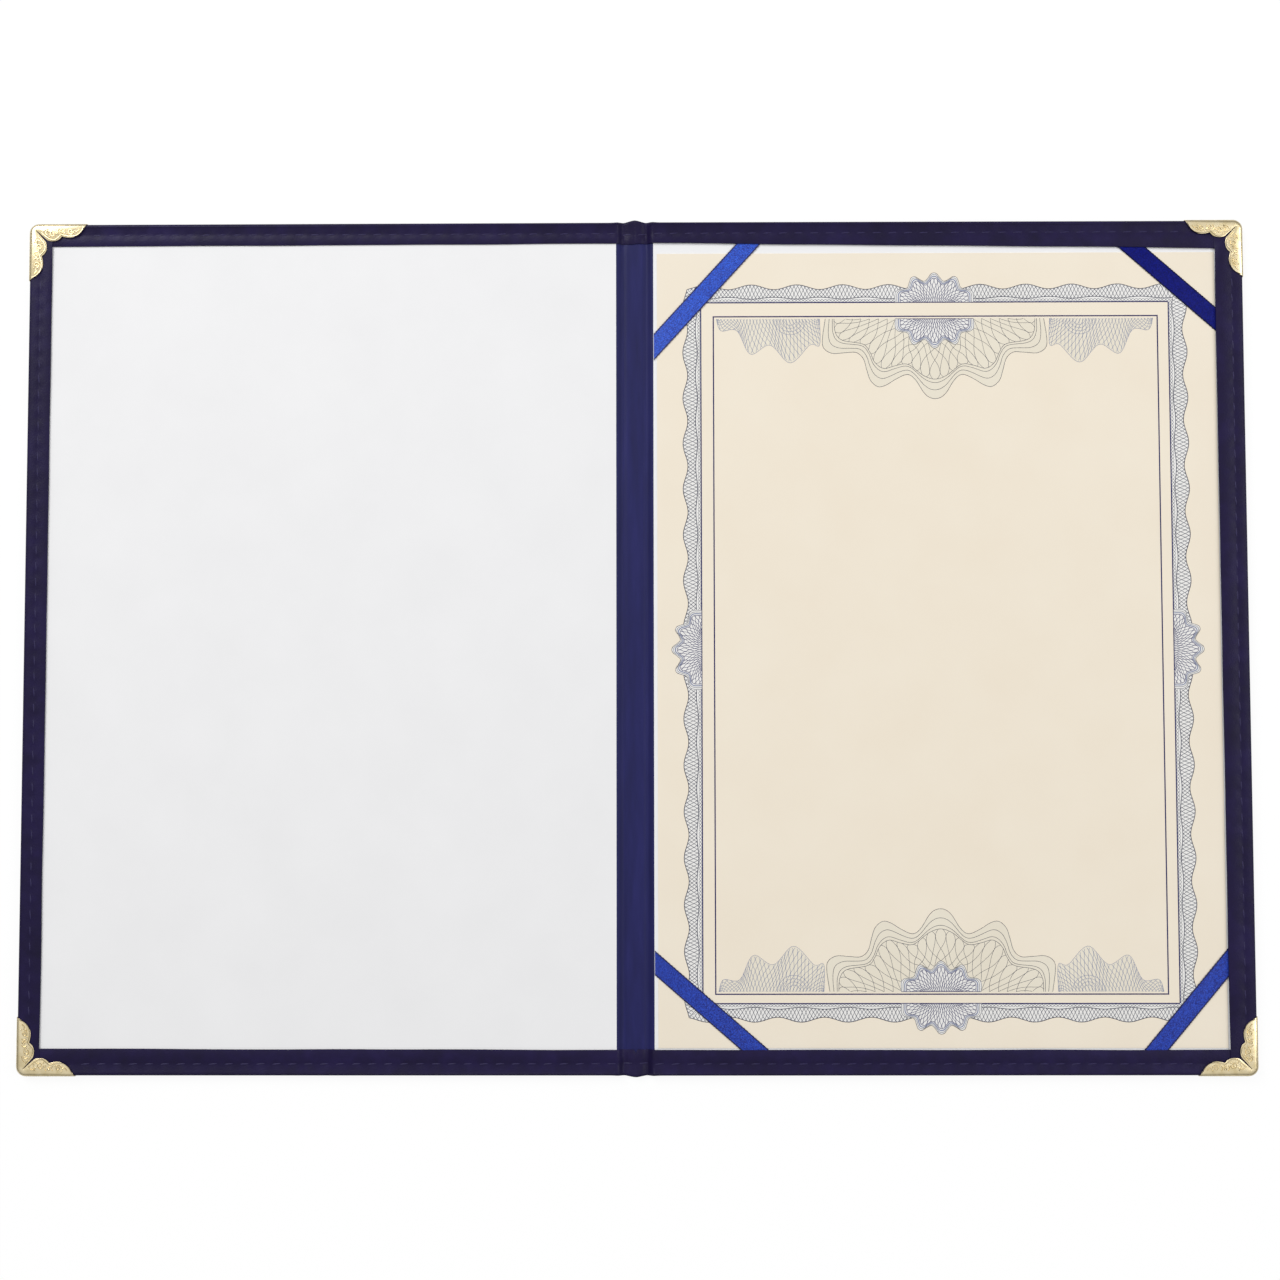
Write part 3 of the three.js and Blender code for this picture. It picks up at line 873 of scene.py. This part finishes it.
# %% Print tints
tint_paint = paper_finish("pale_tint", srgb(238, 237, 234), srgb(243, 242, 240), 0.7)
petal_paint = paper_finish("cream_tint", srgb(236, 228, 210), srgb(240, 233, 216), 0.7)
line_paint = paper_finish("frame_ink", srgb(36, 32, 88), srgb(46, 42, 100), 0.6)
for node in ("print_border", "print_rosette_left", "print_rosette_right"):
    dress(node, tint_paint)
for end in ("top", "bottom"):
    dress(f"print_rosette_{end}", petal_paint)
    for name in (f"print_core_{end}_outer", f"print_core_{end}_inner"):
        dress(name, tint_paint)
    for side in ("left", "right"):
        dress(f"print_flourish_{end}_{side}", petal_paint)
dress("print_frame_line", line_paint)

# %% [markdown]
# ### Ink
# Ink has no body of its own, so its colour is even and its surface matt. A line starts as a round
# curve, because a curve follows any row of points. It is turned into a mesh, its lower half is
# deleted, and the rest is pressed to less than two hundredths of a millimetre.

# %% Ink
INK_HEIGHT = 0.016 * MM


def ink(name, colour):
    return new_finish(name, roughness=0.65, specular=0.15).finish(Base_Color=colour)


INKS = {
    "deep": ink("deep_ink", srgb(38, 38, 96)),
    "mid": ink("mid_ink", srgb(40, 45, 72)),
    "pale": ink("pale_ink", srgb(132, 140, 168)),
}


def ink_lines(name, lines, level, width, colour):
    """Draws lines, given in millimetres from the print's centre, as one flat mesh."""
    radius = width * MM / 2
    placed = [[(PRINT_X + x * MM, PRINT_Y + y * MM) for x, y in line] for line in lines]
    piece = drawn(name, placed, radius)
    bpy.ops.object.mode_set(mode="EDIT")
    choose(piece, "faces", lambda face: face.normal.z < 0.2)
    bpy.ops.mesh.delete(type="FACE")
    bpy.ops.object.mode_set(mode="OBJECT")
    for vertex in piece.data.vertices:
        vertex.co.z = level + max(vertex.co.z, 0) / radius * INK_HEIGHT
    paint(piece, INKS[colour])
    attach(piece, "right_cover")
    print(name, len(lines), "lines,", len(piece.data.polygons), "faces")


# %% [markdown]
# ### Smooth outlines
# An ornament's outline is a smooth line through a few points on one side of its middle, mirrored
# to the other side. `between` gives any point of a fan that runs from one such outline to
# another, and `fan` draws lines across it. In a woven net neighbouring lines swing in opposite
# senses, so that they meet at staggered knots and leave almond-shaped cells.

# %% Outlines and fans
BORDER_DEPTH = 6.9
BASE_GAP = 1.05
border_low, border_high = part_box("print_border")
frame_low, frame_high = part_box("print_frame_line")
PRINT_X = (border_low.x + border_high.x) / 2
PRINT_Y = (border_low.y + border_high.y) / 2
BORDER_HALF_X = (border_high.x - border_low.x) / 2 / MM - BORDER_DEPTH
BORDER_HALF_Y = (border_high.y - border_low.y) / 2 / MM - BORDER_DEPTH
ORNAMENT_BASE = {
    1: (frame_high.y - PRINT_Y) / MM - BASE_GAP,
    -1: (PRINT_Y - frame_low.y) / MM - BASE_GAP,
}

LARGE_OUTLINE = [
    (0, 30.5), (2.3, 29.9), (4.4, 27.9), (7.4, 23.2), (10.4, 21.3), (14.6, 23.0), (18.4, 25.3),
    (21.4, 25.9), (24.2, 23.6), (25.6, 19.5), (26.9, 15.2), (29.6, 12.9), (34, 13.0),
    (38.5, 13.2), (41.6, 11.4), (42.2, 8.0), (41.1, 0.1),
]
LARGE_INNER = [
    (0, 23.1), (4.5, 21.6), (10, 17.5), (14.6, 17.9), (19.2, 19), (22.6, 16.6), (24.4, 12.7),
    (27, 9.7), (34.8, 8.2), (37.4, 5.0), (37.8, 0.1),
]
SMALL_OUTLINE = [
    (0, 11.3), (1.1, 10.9), (2.1, 9.6), (3.6, 8.1), (5.4, 8.8), (7.2, 9.9), (8.6, 9.4),
    (9.3, 7.6), (10.0, 5.7), (11.6, 5.1), (13.6, 4.8), (14.7, 3.4), (14.7, 0.1),
]
SMALL_HALF = 14.7
FOOT = 0.1


def spline_through(points, steps=6):
    """A smooth line through points, each piece of it a cubic with shared slopes."""
    line = []
    last = len(points) - 1
    for i in range(last):
        knots = [points[max(i - 1, 0)], points[i], points[i + 1], points[min(i + 2, last)]]
        for k in range(steps):
            t = k / steps
            weights = (
                (-t + 2 * t**2 - t**3) / 2,
                (2 - 5 * t**2 + 3 * t**3) / 2,
                (t + 4 * t**2 - 3 * t**3) / 2,
                (-(t**2) + t**3) / 2,
            )
            x, y = (sum(w * knot[axis] for w, knot in zip(weights, knots)) for axis in (0, 1))
            line.append((x, y))
    line.append(points[-1])
    return line


def both_sides(points):
    return spline_through([(-x, y) for x, y in reversed(points[1:])] + points)


def part_way(start, end, share):
    return tuple(a + (b - a) * share for a, b in zip(start, end))


def evenly(line, count):
    """The same line with points at equal distances."""
    lengths = [0.0]
    for (x, y), (next_x, next_y) in zip(line, line[1:]):
        lengths.append(lengths[-1] + math.hypot(next_x - x, next_y - y))
    even = []
    index = 0
    for k in range(count + 1):
        target = lengths[-1] * k / count
        while index < len(line) - 2 and lengths[index + 1] < target:
            index += 1
        share = (target - lengths[index]) / max(lengths[index + 1] - lengths[index], 1e-9)
        even.append(part_way(line[index], line[index + 1], max(0.0, min(1.0, share))))
    return even


def at(line, u):
    """The point at share u of an evenly spaced line."""
    place = max(0.0, min(1.0, u)) * (len(line) - 1)
    index = min(int(place), len(line) - 2)
    return part_way(line[index], line[index + 1], place - index)


def between(inner, outer, u, r):
    return part_way(at(inner, u), at(outer, u), r)


def middle_line(inner, outer, r, count):
    """A line at share r of the way from one outline to another."""
    return [between(inner, outer, k / count, r) for k in range(count + 1)]


def fan(inner, outer, places, swing, steps):
    """Lines from one outline to another; swing gives each line's shift along the outlines."""
    lines = []
    for k, place in enumerate(places):
        line = []
        for i in range(steps + 1):
            r = i / steps
            u = place + swing(k, r)
            if 0 <= u <= 1:
                line.append(between(inner, outer, u, r))
        if len(line) > 1:
            lines.append(line)
    return lines


def woven(inner, outer, count, rows, steps):
    """A net of almond cells between two outlines."""
    places = [(k + 0.5) / count for k in range(count)]
    half_cell = 0.46 / count

    def swing(k, r):
        return half_cell * (-1) ** k * math.sin(math.pi * rows * r)

    return fan(inner, outer, places, swing, steps)


def moved(lines, place):
    return [[place(x, y) for x, y in line] for line in lines]


# %% [markdown]
# ### Rosettes
# The small rosette has three outlines and a fine net that fans out from its base. The large one
# behind it has four outlines and a net of long petals, drawn by two sets of lines that lean
# opposite ways. Both appear at the top and the bottom, and small ones stand in the middle of
# the left and right borders.

# %% Rosette lines
SMALL_STEPS = 160
LARGE_STEPS = 200
SMALL_RINGS = ((1.0, 1.0), (0.955, 0.945), (0.87, 0.82))
LARGE_RINGS = (0.0, 0.45, 0.82, 1.0)
FAN_HALF = 6.76
small = evenly(both_sides(SMALL_OUTLINE), SMALL_STEPS)
large = evenly(both_sides(LARGE_OUTLINE), LARGE_STEPS)
large_inner = evenly(both_sides(LARGE_INNER), LARGE_STEPS)
small_rings = [[(x * across, y * out) for x, y in small] for across, out in SMALL_RINGS]
large_rings = [middle_line(large, large_inner, share, LARGE_STEPS) for share in LARGE_RINGS]
fan_base = evenly([(-FAN_HALF, FOOT), (FAN_HALF, FOOT)], SMALL_STEPS)
small_net = woven(fan_base, small_rings[2], count=46, rows=5, steps=20)
small_band = [middle_line(small_rings[1], small_rings[2], 0.5, SMALL_STEPS)]
base_line = [[(-SMALL_HALF, FOOT), (SMALL_HALF, FOOT)]]

# %% [markdown]
# The petals start on the outline of the small rosette and on a short foot beside it. Each line
# leans away from its start, most of the way along, and curls back a little at the tip. The same
# lines leaning the other way close the petals.

# %% Petals of the large rosette
PETALS = 24
PETAL_BASE = 31
PETAL_LEAN = 1.5
LEAN_END = 0.84
TIP_CURL = 0.2


def petal_lean(sense):
    def swing(k, r):
        swell = math.sin(math.pi / 2 * min(1.0, r / LEAN_END))
        tip = TIP_CURL * max(0.0, (r - LEAN_END) / (1 - LEAN_END)) ** 1.5
        return sense * PETAL_LEAN * (swell - tip) / PETALS

    return swing


foot = evenly([(PETAL_BASE, FOOT), (SMALL_HALF, FOOT)], 12)[:-1]
petal_foot = evenly([(-x, y) for x, y in foot] + small + foot[::-1], LARGE_STEPS)
petal_places = [k / PETALS for k in range(-1, PETALS + 2)]
petals = []
for sense in (1, -1):
    petals += fan(petal_foot, large_inner, petal_places, petal_lean(sense), 16)

# %% [markdown]
# A rosette is drawn once in its own measures, outwards from a straight base, and a small function
# puts each copy in its place: inwards from the frame, or outwards from the border's inner line.

# %% Place the rosettes
BAND_DROP = 0.004 * MM


def small_rosette(word, place):
    """The rings, the edge, the net and the pale band of one small rosette."""
    ink_lines(f"core_{word}_rings", moved(small_rings[:2], place), CORE_TOP, 0.15, "mid")
    edge = moved(small_rings[2:] + base_line, place)
    ink_lines(f"core_{word}_edge", edge, CORE_TOP, 0.19, "deep")
    ink_lines(f"core_{word}_net", moved(small_net, place), CORE_TOP, 0.16, "deep")
    ink_lines(f"core_{word}_band", moved(small_band, place), CORE_TOP - BAND_DROP, 0.5, "pale")


for word, end in (("top", 1), ("bottom", -1)):

    def inwards(x, y, end=end):
        return (x, end * (ORNAMENT_BASE[end] - y))

    def outwards(x, y, end=end):
        return (x, end * (BORDER_HALF_Y + y))

    ink_lines(f"rosette_{word}_rings", moved(large_rings, inwards), FIELD_TOP, 0.16, "mid")
    ink_lines(f"rosette_{word}_petals", moved(petals, inwards), FIELD_TOP, 0.13, "mid")
    small_rosette(f"{word}_inner", inwards)
    small_rosette(f"{word}_outer", outwards)

for word, side in (("right", 1), ("left", -1)):

    def sideways(x, y, side=side):
        return (side * (BORDER_HALF_X + y), x)

    small_rosette(word, sideways)

# %% [markdown]
# ### Flourishes
# A paler motif fills the rest of the frame's width on both sides of the large rosette. It has
# an outline, a fine woven net that hangs from the base line, and nested arcs at its foot.

# %% Flourish lines
FLOURISH_START = 43.1
FLOURISH_OUTLINE = [
    (0.2, 0.1), (0.2, 10), (3.8, 10), (11.3, 16.8), (18.8, 10), (26.3, 13.4),
    (31.3, 4.5), (37.3, 4.5), (39.0, 0.1),
]
FLOURISH_STEPS = 120
ARC_MIDDLE = 11.3
ARC_RADII = (2.4, 3.6, 4.8, 6.0)
ARC_STEPS = 16

flourish = evenly(spline_through(FLOURISH_OUTLINE, 8), FLOURISH_STEPS)
flourish_base = evenly([FLOURISH_OUTLINE[0], FLOURISH_OUTLINE[-1]], FLOURISH_STEPS)
flourish_inner = middle_line(flourish, flourish_base, 0.03, FLOURISH_STEPS)
flourish_net = woven(flourish_base, flourish_inner, count=64, rows=6, steps=20)


def arc(radius):
    """Half a circle over the base line."""
    angles = [math.pi * k / ARC_STEPS for k in range(ARC_STEPS + 1)]
    return [(ARC_MIDDLE + radius * math.cos(a), FOOT + radius * math.sin(a)) for a in angles]


flourish_arcs = [arc(radius) for radius in ARC_RADII]

for word, end in (("top", 1), ("bottom", -1)):
    for name, side in (("right", 1), ("left", -1)):

        def hanging(x, y, end=end, side=side):
            return (side * (FLOURISH_START + x), end * (ORNAMENT_BASE[end] - y))

        lines = moved([flourish] + flourish_arcs + flourish_net, hanging)
        ink_lines(f"flourish_{word}_{name}", lines, FIELD_TOP, 0.14, "pale")

# %% [markdown]
# ### Border
# The border runs round the page in waves. Five sine lines with shifted phases cross between a
# wavy inner line and the wavy outer edge, and a narrow beaded strip lies along the dark inner
# line. Each of the four sides is drawn flat and then turned into place, cut at 45 degrees where
# it meets its neighbour.

# %% Border lines
BORDER_DIP = 1.8
BORDER_PERIOD = 16.7
INNER_LINE = 1.8
INNER_DIP = 0.35
STRAIGHT_LINE = 0.12
NET_LINES = 5
NET_WAVE = 6.9
BEAD_LINES = 2
BEAD_WAVE = 2.6
BEAD_SPAN = (0.4, 1.35)
LINE_STEP = 0.42


def border_line(half_length, depth_of):
    """One line of a border side, cut at both mitres: distances along the side and out from it."""
    line = []
    full = 2 * (half_length + BORDER_DEPTH)
    steps = int(full / LINE_STEP)
    for i in range(steps + 1):
        along = full * i / steps - full / 2
        depth = depth_of(along)
        if abs(along) <= half_length + depth:
            line.append((along, depth))
    return line


def crossing(half_length, count, wave, low_of, high_of):
    """Sine lines with evenly shifted phases, swinging between two edges."""
    lines = []
    for j in range(count):

        def weave(along, j=j):
            low, high = low_of(along), high_of(along)
            swing = math.sin(2 * math.pi * (along / wave + j / count))
            return (low + high) / 2 + (high - low) / 2 * swing

        lines.append(border_line(half_length, weave))
    return lines


def border_side(half_length):
    """The edges, the net, the beads and the straight line of one side."""
    full = 2 * (half_length + BORDER_DEPTH)
    waves = max(1, round(full / BORDER_PERIOD))
    period = full / waves
    phase = 0 if waves % 2 else period / 2

    def wave(along):
        return math.cos(2 * math.pi * (along + phase) / period)

    def outer(along):
        return BORDER_DEPTH - BORDER_DIP * (1 - wave(along)) / 2

    def inner(along):
        return INNER_LINE - INNER_DIP * wave(along)

    bead_low, bead_high = BEAD_SPAN
    edges = [border_line(half_length, outer), border_line(half_length, inner)]
    net = crossing(half_length, NET_LINES, NET_WAVE, inner, outer)
    beads = crossing(half_length, BEAD_LINES, BEAD_WAVE, lambda s: bead_low, lambda s: bead_high)
    straight = [[(-half_length, STRAIGHT_LINE), (half_length, STRAIGHT_LINE)]]
    return edges, net, beads, straight


SIDES = {
    "top": (BORDER_HALF_X, lambda s, d: (s, BORDER_HALF_Y + d)),
    "bottom": (BORDER_HALF_X, lambda s, d: (s, -BORDER_HALF_Y - d)),
    "right": (BORDER_HALF_Y, lambda s, d: (BORDER_HALF_X + d, s)),
    "left": (BORDER_HALF_Y, lambda s, d: (-BORDER_HALF_X - d, s)),
}
edges, net, beads, straight = [], [], [], []
for half_length, place in SIDES.values():
    for store, lines in zip((edges, net, beads, straight), border_side(half_length)):
        store += moved(lines, place)
ink_lines("border_edges", edges, FIELD_TOP, 0.22, "mid")
ink_lines("border_net", net, FIELD_TOP, 0.16, "mid")
ink_lines("border_beads", beads, FIELD_TOP, 0.13, "mid")
ink_lines("border_inner_line", straight, FIELD_TOP, 0.44, "deep")

# %% [markdown]
# ## Ribbons
# Four satin ribbons hold the certificate at its corners. Each one runs straight across a corner
# of the window and ends under two bands. It starts as a grid that is laid between its two end
# lines, gets a slight rise in the middle and a woven edge, and is thickened upwards.

# %% Ribbons
RIBBON_WIDTH = 7 * MM
RIBBON_TUCK = 5 * MM
RIBBONS = {
    "top_left": (-1, 1, 36.5 * MM, 40.0 * MM),
    "top_right": (1, 1, 30.5 * MM, 27.0 * MM),
    "bottom_left": (-1, -1, 37.0 * MM, 32.0 * MM),
    "bottom_right": (1, -1, 27.0 * MM, 32.0 * MM),
}
RIBBON_STEPS = 90
RIBBON_LIFT = 0.03 * MM
RIBBON_RISE = 0.12 * MM
RIBBON_SWAY = 0.05 * MM
SELVEDGE = 0.6 * MM
SELVEDGE_HEIGHT = 0.05 * MM
PICOT = 0.14 * MM


def ribbon_level(place, share, off):
    """Height of a ribbon at a share of its length and a distance from its middle."""
    rise = RIBBON_RISE * math.sin(math.pi * share) ** 0.5 if 0 < share < 1 else 0
    crown = rise * (1 - (2 * off / RIBBON_WIDTH) ** 2)
    selvedge = SELVEDGE_HEIGHT if RIBBON_WIDTH / 2 - abs(off) < SELVEDGE else 0
    sway = RIBBON_SWAY * noise.noise(Vector((place.x * 90, place.y * 90, 1.0)))
    fade = min(1.0, 6 * share, 6 * (1 - share))
    return CORE_TOP + INK_HEIGHT + 0.01 * MM + (crown + selvedge + sway + RIBBON_LIFT) * fade


def ribbon(word, side, end, along, down):
    """A ribbon across one corner of the window, given by how far it starts along and down."""
    key = ("top" if end > 0 else "bottom") + ("_spine" if side < 0 else "_outer")
    corner = window_corners(1)[key]
    flat = Vector((corner.x - side * along, corner.y))
    upright = Vector((corner.x, corner.y - end * down))
    run = (upright - flat).normalized()
    across = Vector((-run.y, run.x))
    tuck_y = corner.y + end * RIBBON_TUCK
    tuck_x = LINER_START + 0.2 * MM if side < 0 else corner.x + RIBBON_TUCK
    clear_selection()
    bpy.ops.mesh.primitive_grid_add(x_subdivisions=RIBBON_STEPS, y_subdivisions=20, size=1)
    piece = bpy.context.object
    for vertex in piece.data.vertices:
        share = vertex.co.x + 0.5
        off = vertex.co.y * RIBBON_WIDTH
        if abs(vertex.co.y) > 0.499 and round(share * RIBBON_STEPS) % 2:
            off -= math.copysign(PICOT, off)
        middle = flat + across * off
        start = middle + run * ((tuck_y - middle.y) / run.y)
        finish = middle + run * ((tuck_x - middle.x) / run.x)
        place = start.lerp(finish, share)
        vertex.co = (place.x, place.y, ribbon_level(place, share, off))
    face_up(piece)
    modifier(piece, "SOLIDIFY", thickness=0.1 * MM, offset=1)
    smooth(piece, 50)
    return named(piece, f"satin_{word}")


# %% [markdown]
# Satin shines across its threads. The weave is a fine ribbing across the ribbon's width, seen
# through the ribbon's own UV map: U runs along it, V across it. A ribbon looks lighter or deeper
# by the way its threads lie to the light, and that light and shade are painted into the base
# colour: the finish comes in three painted tones, lit, half shaded and shaded, the most shaded
# upper right. A fine noise also paints glints into the colour.

# %% Satin finish
RIBS = 1100.0
THREADS = 130.0
RIM_START = 0.425


# one call makes one copy of the satin in painted light or shade: dark, light and edge are its
# colours under that painted light
def satin_finish(name, dark, light, edge, specular=0.35):
    tree = new_finish(name, roughness=0.42, specular=specular)
    uv = tree.add("ShaderNodeTexCoord").outputs["UV"]
    split = tree.add("ShaderNodeSeparateXYZ", Vector=uv)
    ribs = tree.math("SINE", tree.math("MULTIPLY", split.outputs["X"], RIBS))
    threads = tree.math("SINE", tree.math("MULTIPLY", split.outputs["Y"], THREADS))
    # painted glints: this fine noise swings the base colour from dark to light, and it also drives a
    # small bump
    painted_glint_noise = tree.noise(2600.0, detail=2.0)
    middle = tree.math("ABSOLUTE", tree.math("SUBTRACT", split.outputs["Y"], 0.5))
    mixed = tree.add(
        "ShaderNodeMix",
        {"data_type": "RGBA"},
        Factor=tree.math("GREATER_THAN", middle, RIM_START),
        i6=tree.ramp(painted_glint_noise, [(0.36, dark), (0.64, light)]),
        i7=edge,
    )
    woven_bump = tree.bump(tree.math("MULTIPLY", ribs, threads), 0.5, 0.05 * MM)
    bump = tree.bump(painted_glint_noise, 0.4, 0.06 * MM, before=woven_bump)
    return tree.finish(Base_Color=mixed.outputs[2], Normal=bump)


# painted light and shade: pale is the lit copy of the satin, mid the half shaded one, deep the
# shaded one
SATIN_LIT_AND_SHADED = {
    "pale": satin_finish("satin_painted_lit", srgb(6, 34, 140), srgb(44, 100, 232), srgb(8, 16, 88)),
    "mid": satin_finish("satin_painted_half_shade", srgb(4, 22, 116), srgb(36, 76, 200), srgb(6, 12, 76)),
    "deep": satin_finish("satin_painted_shade", srgb(2, 6, 88), srgb(10, 22, 131), srgb(2, 6, 60), 0.12),
}
# painted light and shade for each ribbon: which lit or shaded copy of the satin it gets
RIBBON_PAINTED_LIGHT = {"top_left": "pale", "top_right": "deep", "bottom_left": "mid", "bottom_right": "mid"}
for word, (side, end, along, down) in RIBBONS.items():
    piece = ribbon(word, side, end, along, down)
    paint(piece, SATIN_LIT_AND_SHADED[RIBBON_PAINTED_LIGHT[word]])
    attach(piece, "right_cover")
    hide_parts(f"ribbon_{word}")
    tell(piece)

# %% [markdown]
# ## Brass corners
# Each corner cap is thin brass, folded over the edge. Its two wings have scalloped edges and
# nearly meet in a mitre. The solid model has that form already, so a copy of it is taken, its
# edges are rounded, and the pressed relief is added: a rim inside the scallops, curls, leaves and
# beads. It could be a bump in the finish, but geometry also shows from the side.

# %% Lines of the relief
# in millimetres: distance along the edge from the corner, and in from it
RIM = [
    (20.6, 1.0), (19.6, 2.9), (17.8, 4.4), (15.6, 4.75), (13.7, 4.55), (12.35, 4.1),
    (11.2, 4.9), (10.0, 5.9), (8.6, 6.1), (7.4, 5.6), (6.2, 4.75), (4.6, 3.35),
]
CURLS = ((15.6, 2.9, 1.15, 1), (8.9, 3.9, 1.35, -1), (12.2, 2.5, 0.75, 1))
LEAVES = (
    [(18.9, 2.0), (18.0, 2.9), (17.2, 2.6)],
    [(13.6, 3.7), (13.1, 2.9), (13.5, 1.9)],
    [(11.0, 3.9), (10.6, 2.8), (11.2, 1.8)],
    [(6.8, 4.4), (6.2, 3.3), (6.9, 2.4)],
    [(5.2, 2.9), (5.9, 2.3), (7.2, 2.0)],
)
BEADS = ((17.0, 3.6), (14.4, 3.9), (12.4, 3.5), (10.2, 4.9), (7.6, 4.9), (16.9, 1.8), (7.3, 3.0))
RELIEF_WIDTH = 0.26 * MM
RELIEF_HEIGHT = 0.33 * MM
BEAD_RADIUS = 0.34 * MM
CURL_STEPS = 24


def curl(middle_x, middle_y, radius, sense):
    """A spiral that closes in on its middle over 1.3 turns."""
    points = []
    for k in range(CURL_STEPS + 1):
        share = k / CURL_STEPS
        angle = sense * (2.6 * math.pi * share)
        reach = radius * (1 - 0.8 * share)
        points.append((middle_x + reach * math.cos(angle), middle_y + reach * math.sin(angle)))
    return points


RELIEF = [spline_through(RIM, 4)]
RELIEF += [curl(*shape) for shape in CURLS]
RELIEF += [spline_through(leaf, 4) for leaf in LEAVES]
print(len(RELIEF), "lines and", len(BEADS), "beads on each wing")

# %% [markdown]
# A bevel along the sharp edges would be enough for a plain cap. The relief is laid on top of it:
# round lines, made a little taller than wide, and small spheres for the beads. The second wing
# repeats the first across the mitre, so one function turns a place on either wing into a point.

# %% Brass caps
def wing_points(places, wing, side, end):
    """Places on a cap's first or second wing as points of the frame."""
    points = []
    for place in places:
        along, deep = place if wing == 0 else (place[1], place[0])
        points.append((side * (HALF_WIDTH - along * MM), end * (HALF_HEIGHT - deep * MM)))
    return points


def relief(side, end, level):
    lines = [wing_points(line, wing, side, end) for wing in (0, 1) for line in RELIEF]
    piece = drawn("relief", lines, RELIEF_WIDTH, 1)
    for vertex in piece.data.vertices:
        vertex.co.z = level + vertex.co.z / RELIEF_WIDTH * RELIEF_HEIGHT
    pieces = [piece]
    for x, y in wing_points(BEADS, 0, side, end) + wing_points(BEADS, 1, side, end):
        clear_selection()
        bpy.ops.mesh.primitive_uv_sphere_add(
            segments=10, ring_count=6, radius=BEAD_RADIUS, location=(x, y, level), scale=(1, 1, 0.8)
        )
        place_in_mesh(bpy.context.object)
        pieces.append(bpy.context.object)
    return pieces


def brass_cap(word, side, end):
    """A copy of the solid cap with its edges rounded and the relief joined to it."""
    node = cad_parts[f"brass_corner_{word}"]
    cap = node.copy()
    cap.data = node.data.copy()
    cap.parent = None
    for key in list(cap.keys()):
        del cap[key]
    bpy.context.collection.objects.link(cap)
    focus(cap)
    bpy.ops.object.mode_set(mode="EDIT")
    bpy.ops.mesh.select_all(action="SELECT")
    bpy.ops.mesh.remove_doubles(threshold=0.002 * MM)
    bpy.ops.mesh.dissolve_limited(angle_limit=math.radians(1.5))
    bpy.ops.object.mode_set(mode="OBJECT")
    level = max(vertex.co.z for vertex in cap.data.vertices)
    limit = {"limit_method": "ANGLE", "angle_limit": math.radians(50)}
    modifier(cap, "BEVEL", width=0.11 * MM, segments=2, **limit)
    piece = join([cap] + relief(side, end, level), f"brass_{word}")
    smooth(piece, 45)
    return piece


# %% [markdown]
# ## Brass finish
# Polished brass is fully metallic, and its colour is the colour of its reflection. A slow noise
# stands for tarnish: where it is low, the metal is darker and duller.

# %% Brass finish
tree = new_finish("brass", roughness=0.24, metallic=1.0)
tarnish = tree.noise(380.0, detail=5.0)
brass_colour = tree.ramp(
    tarnish, [(0.25, srgb(210, 193, 148)), (0.5, srgb(230, 214, 174)), (0.8, srgb(241, 228, 194))]
)
brass_rough = tree.ramp(tarnish, [(0.3, (0.35, 0.35, 0.35, 1)), (0.75, (0.25, 0.25, 0.25, 1))])
brass_bump = tree.bump(tree.noise(1400.0, detail=4.0), 0.12, 0.03 * MM)
brass_paint = tree.finish(Base_Color=brass_colour, Roughness=brass_rough, Normal=brass_bump)

CAPS = {"top_right": (1, 1), "bottom_right": (1, -1), "top_left": (-1, 1), "bottom_left": (-1, -1)}
for word, (side, end) in CAPS.items():
    piece = brass_cap(word, side, end)
    paint(piece, brass_paint)
    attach(piece, PANEL[side])
    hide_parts(f"brass_corner_{word}")
    tell(piece)
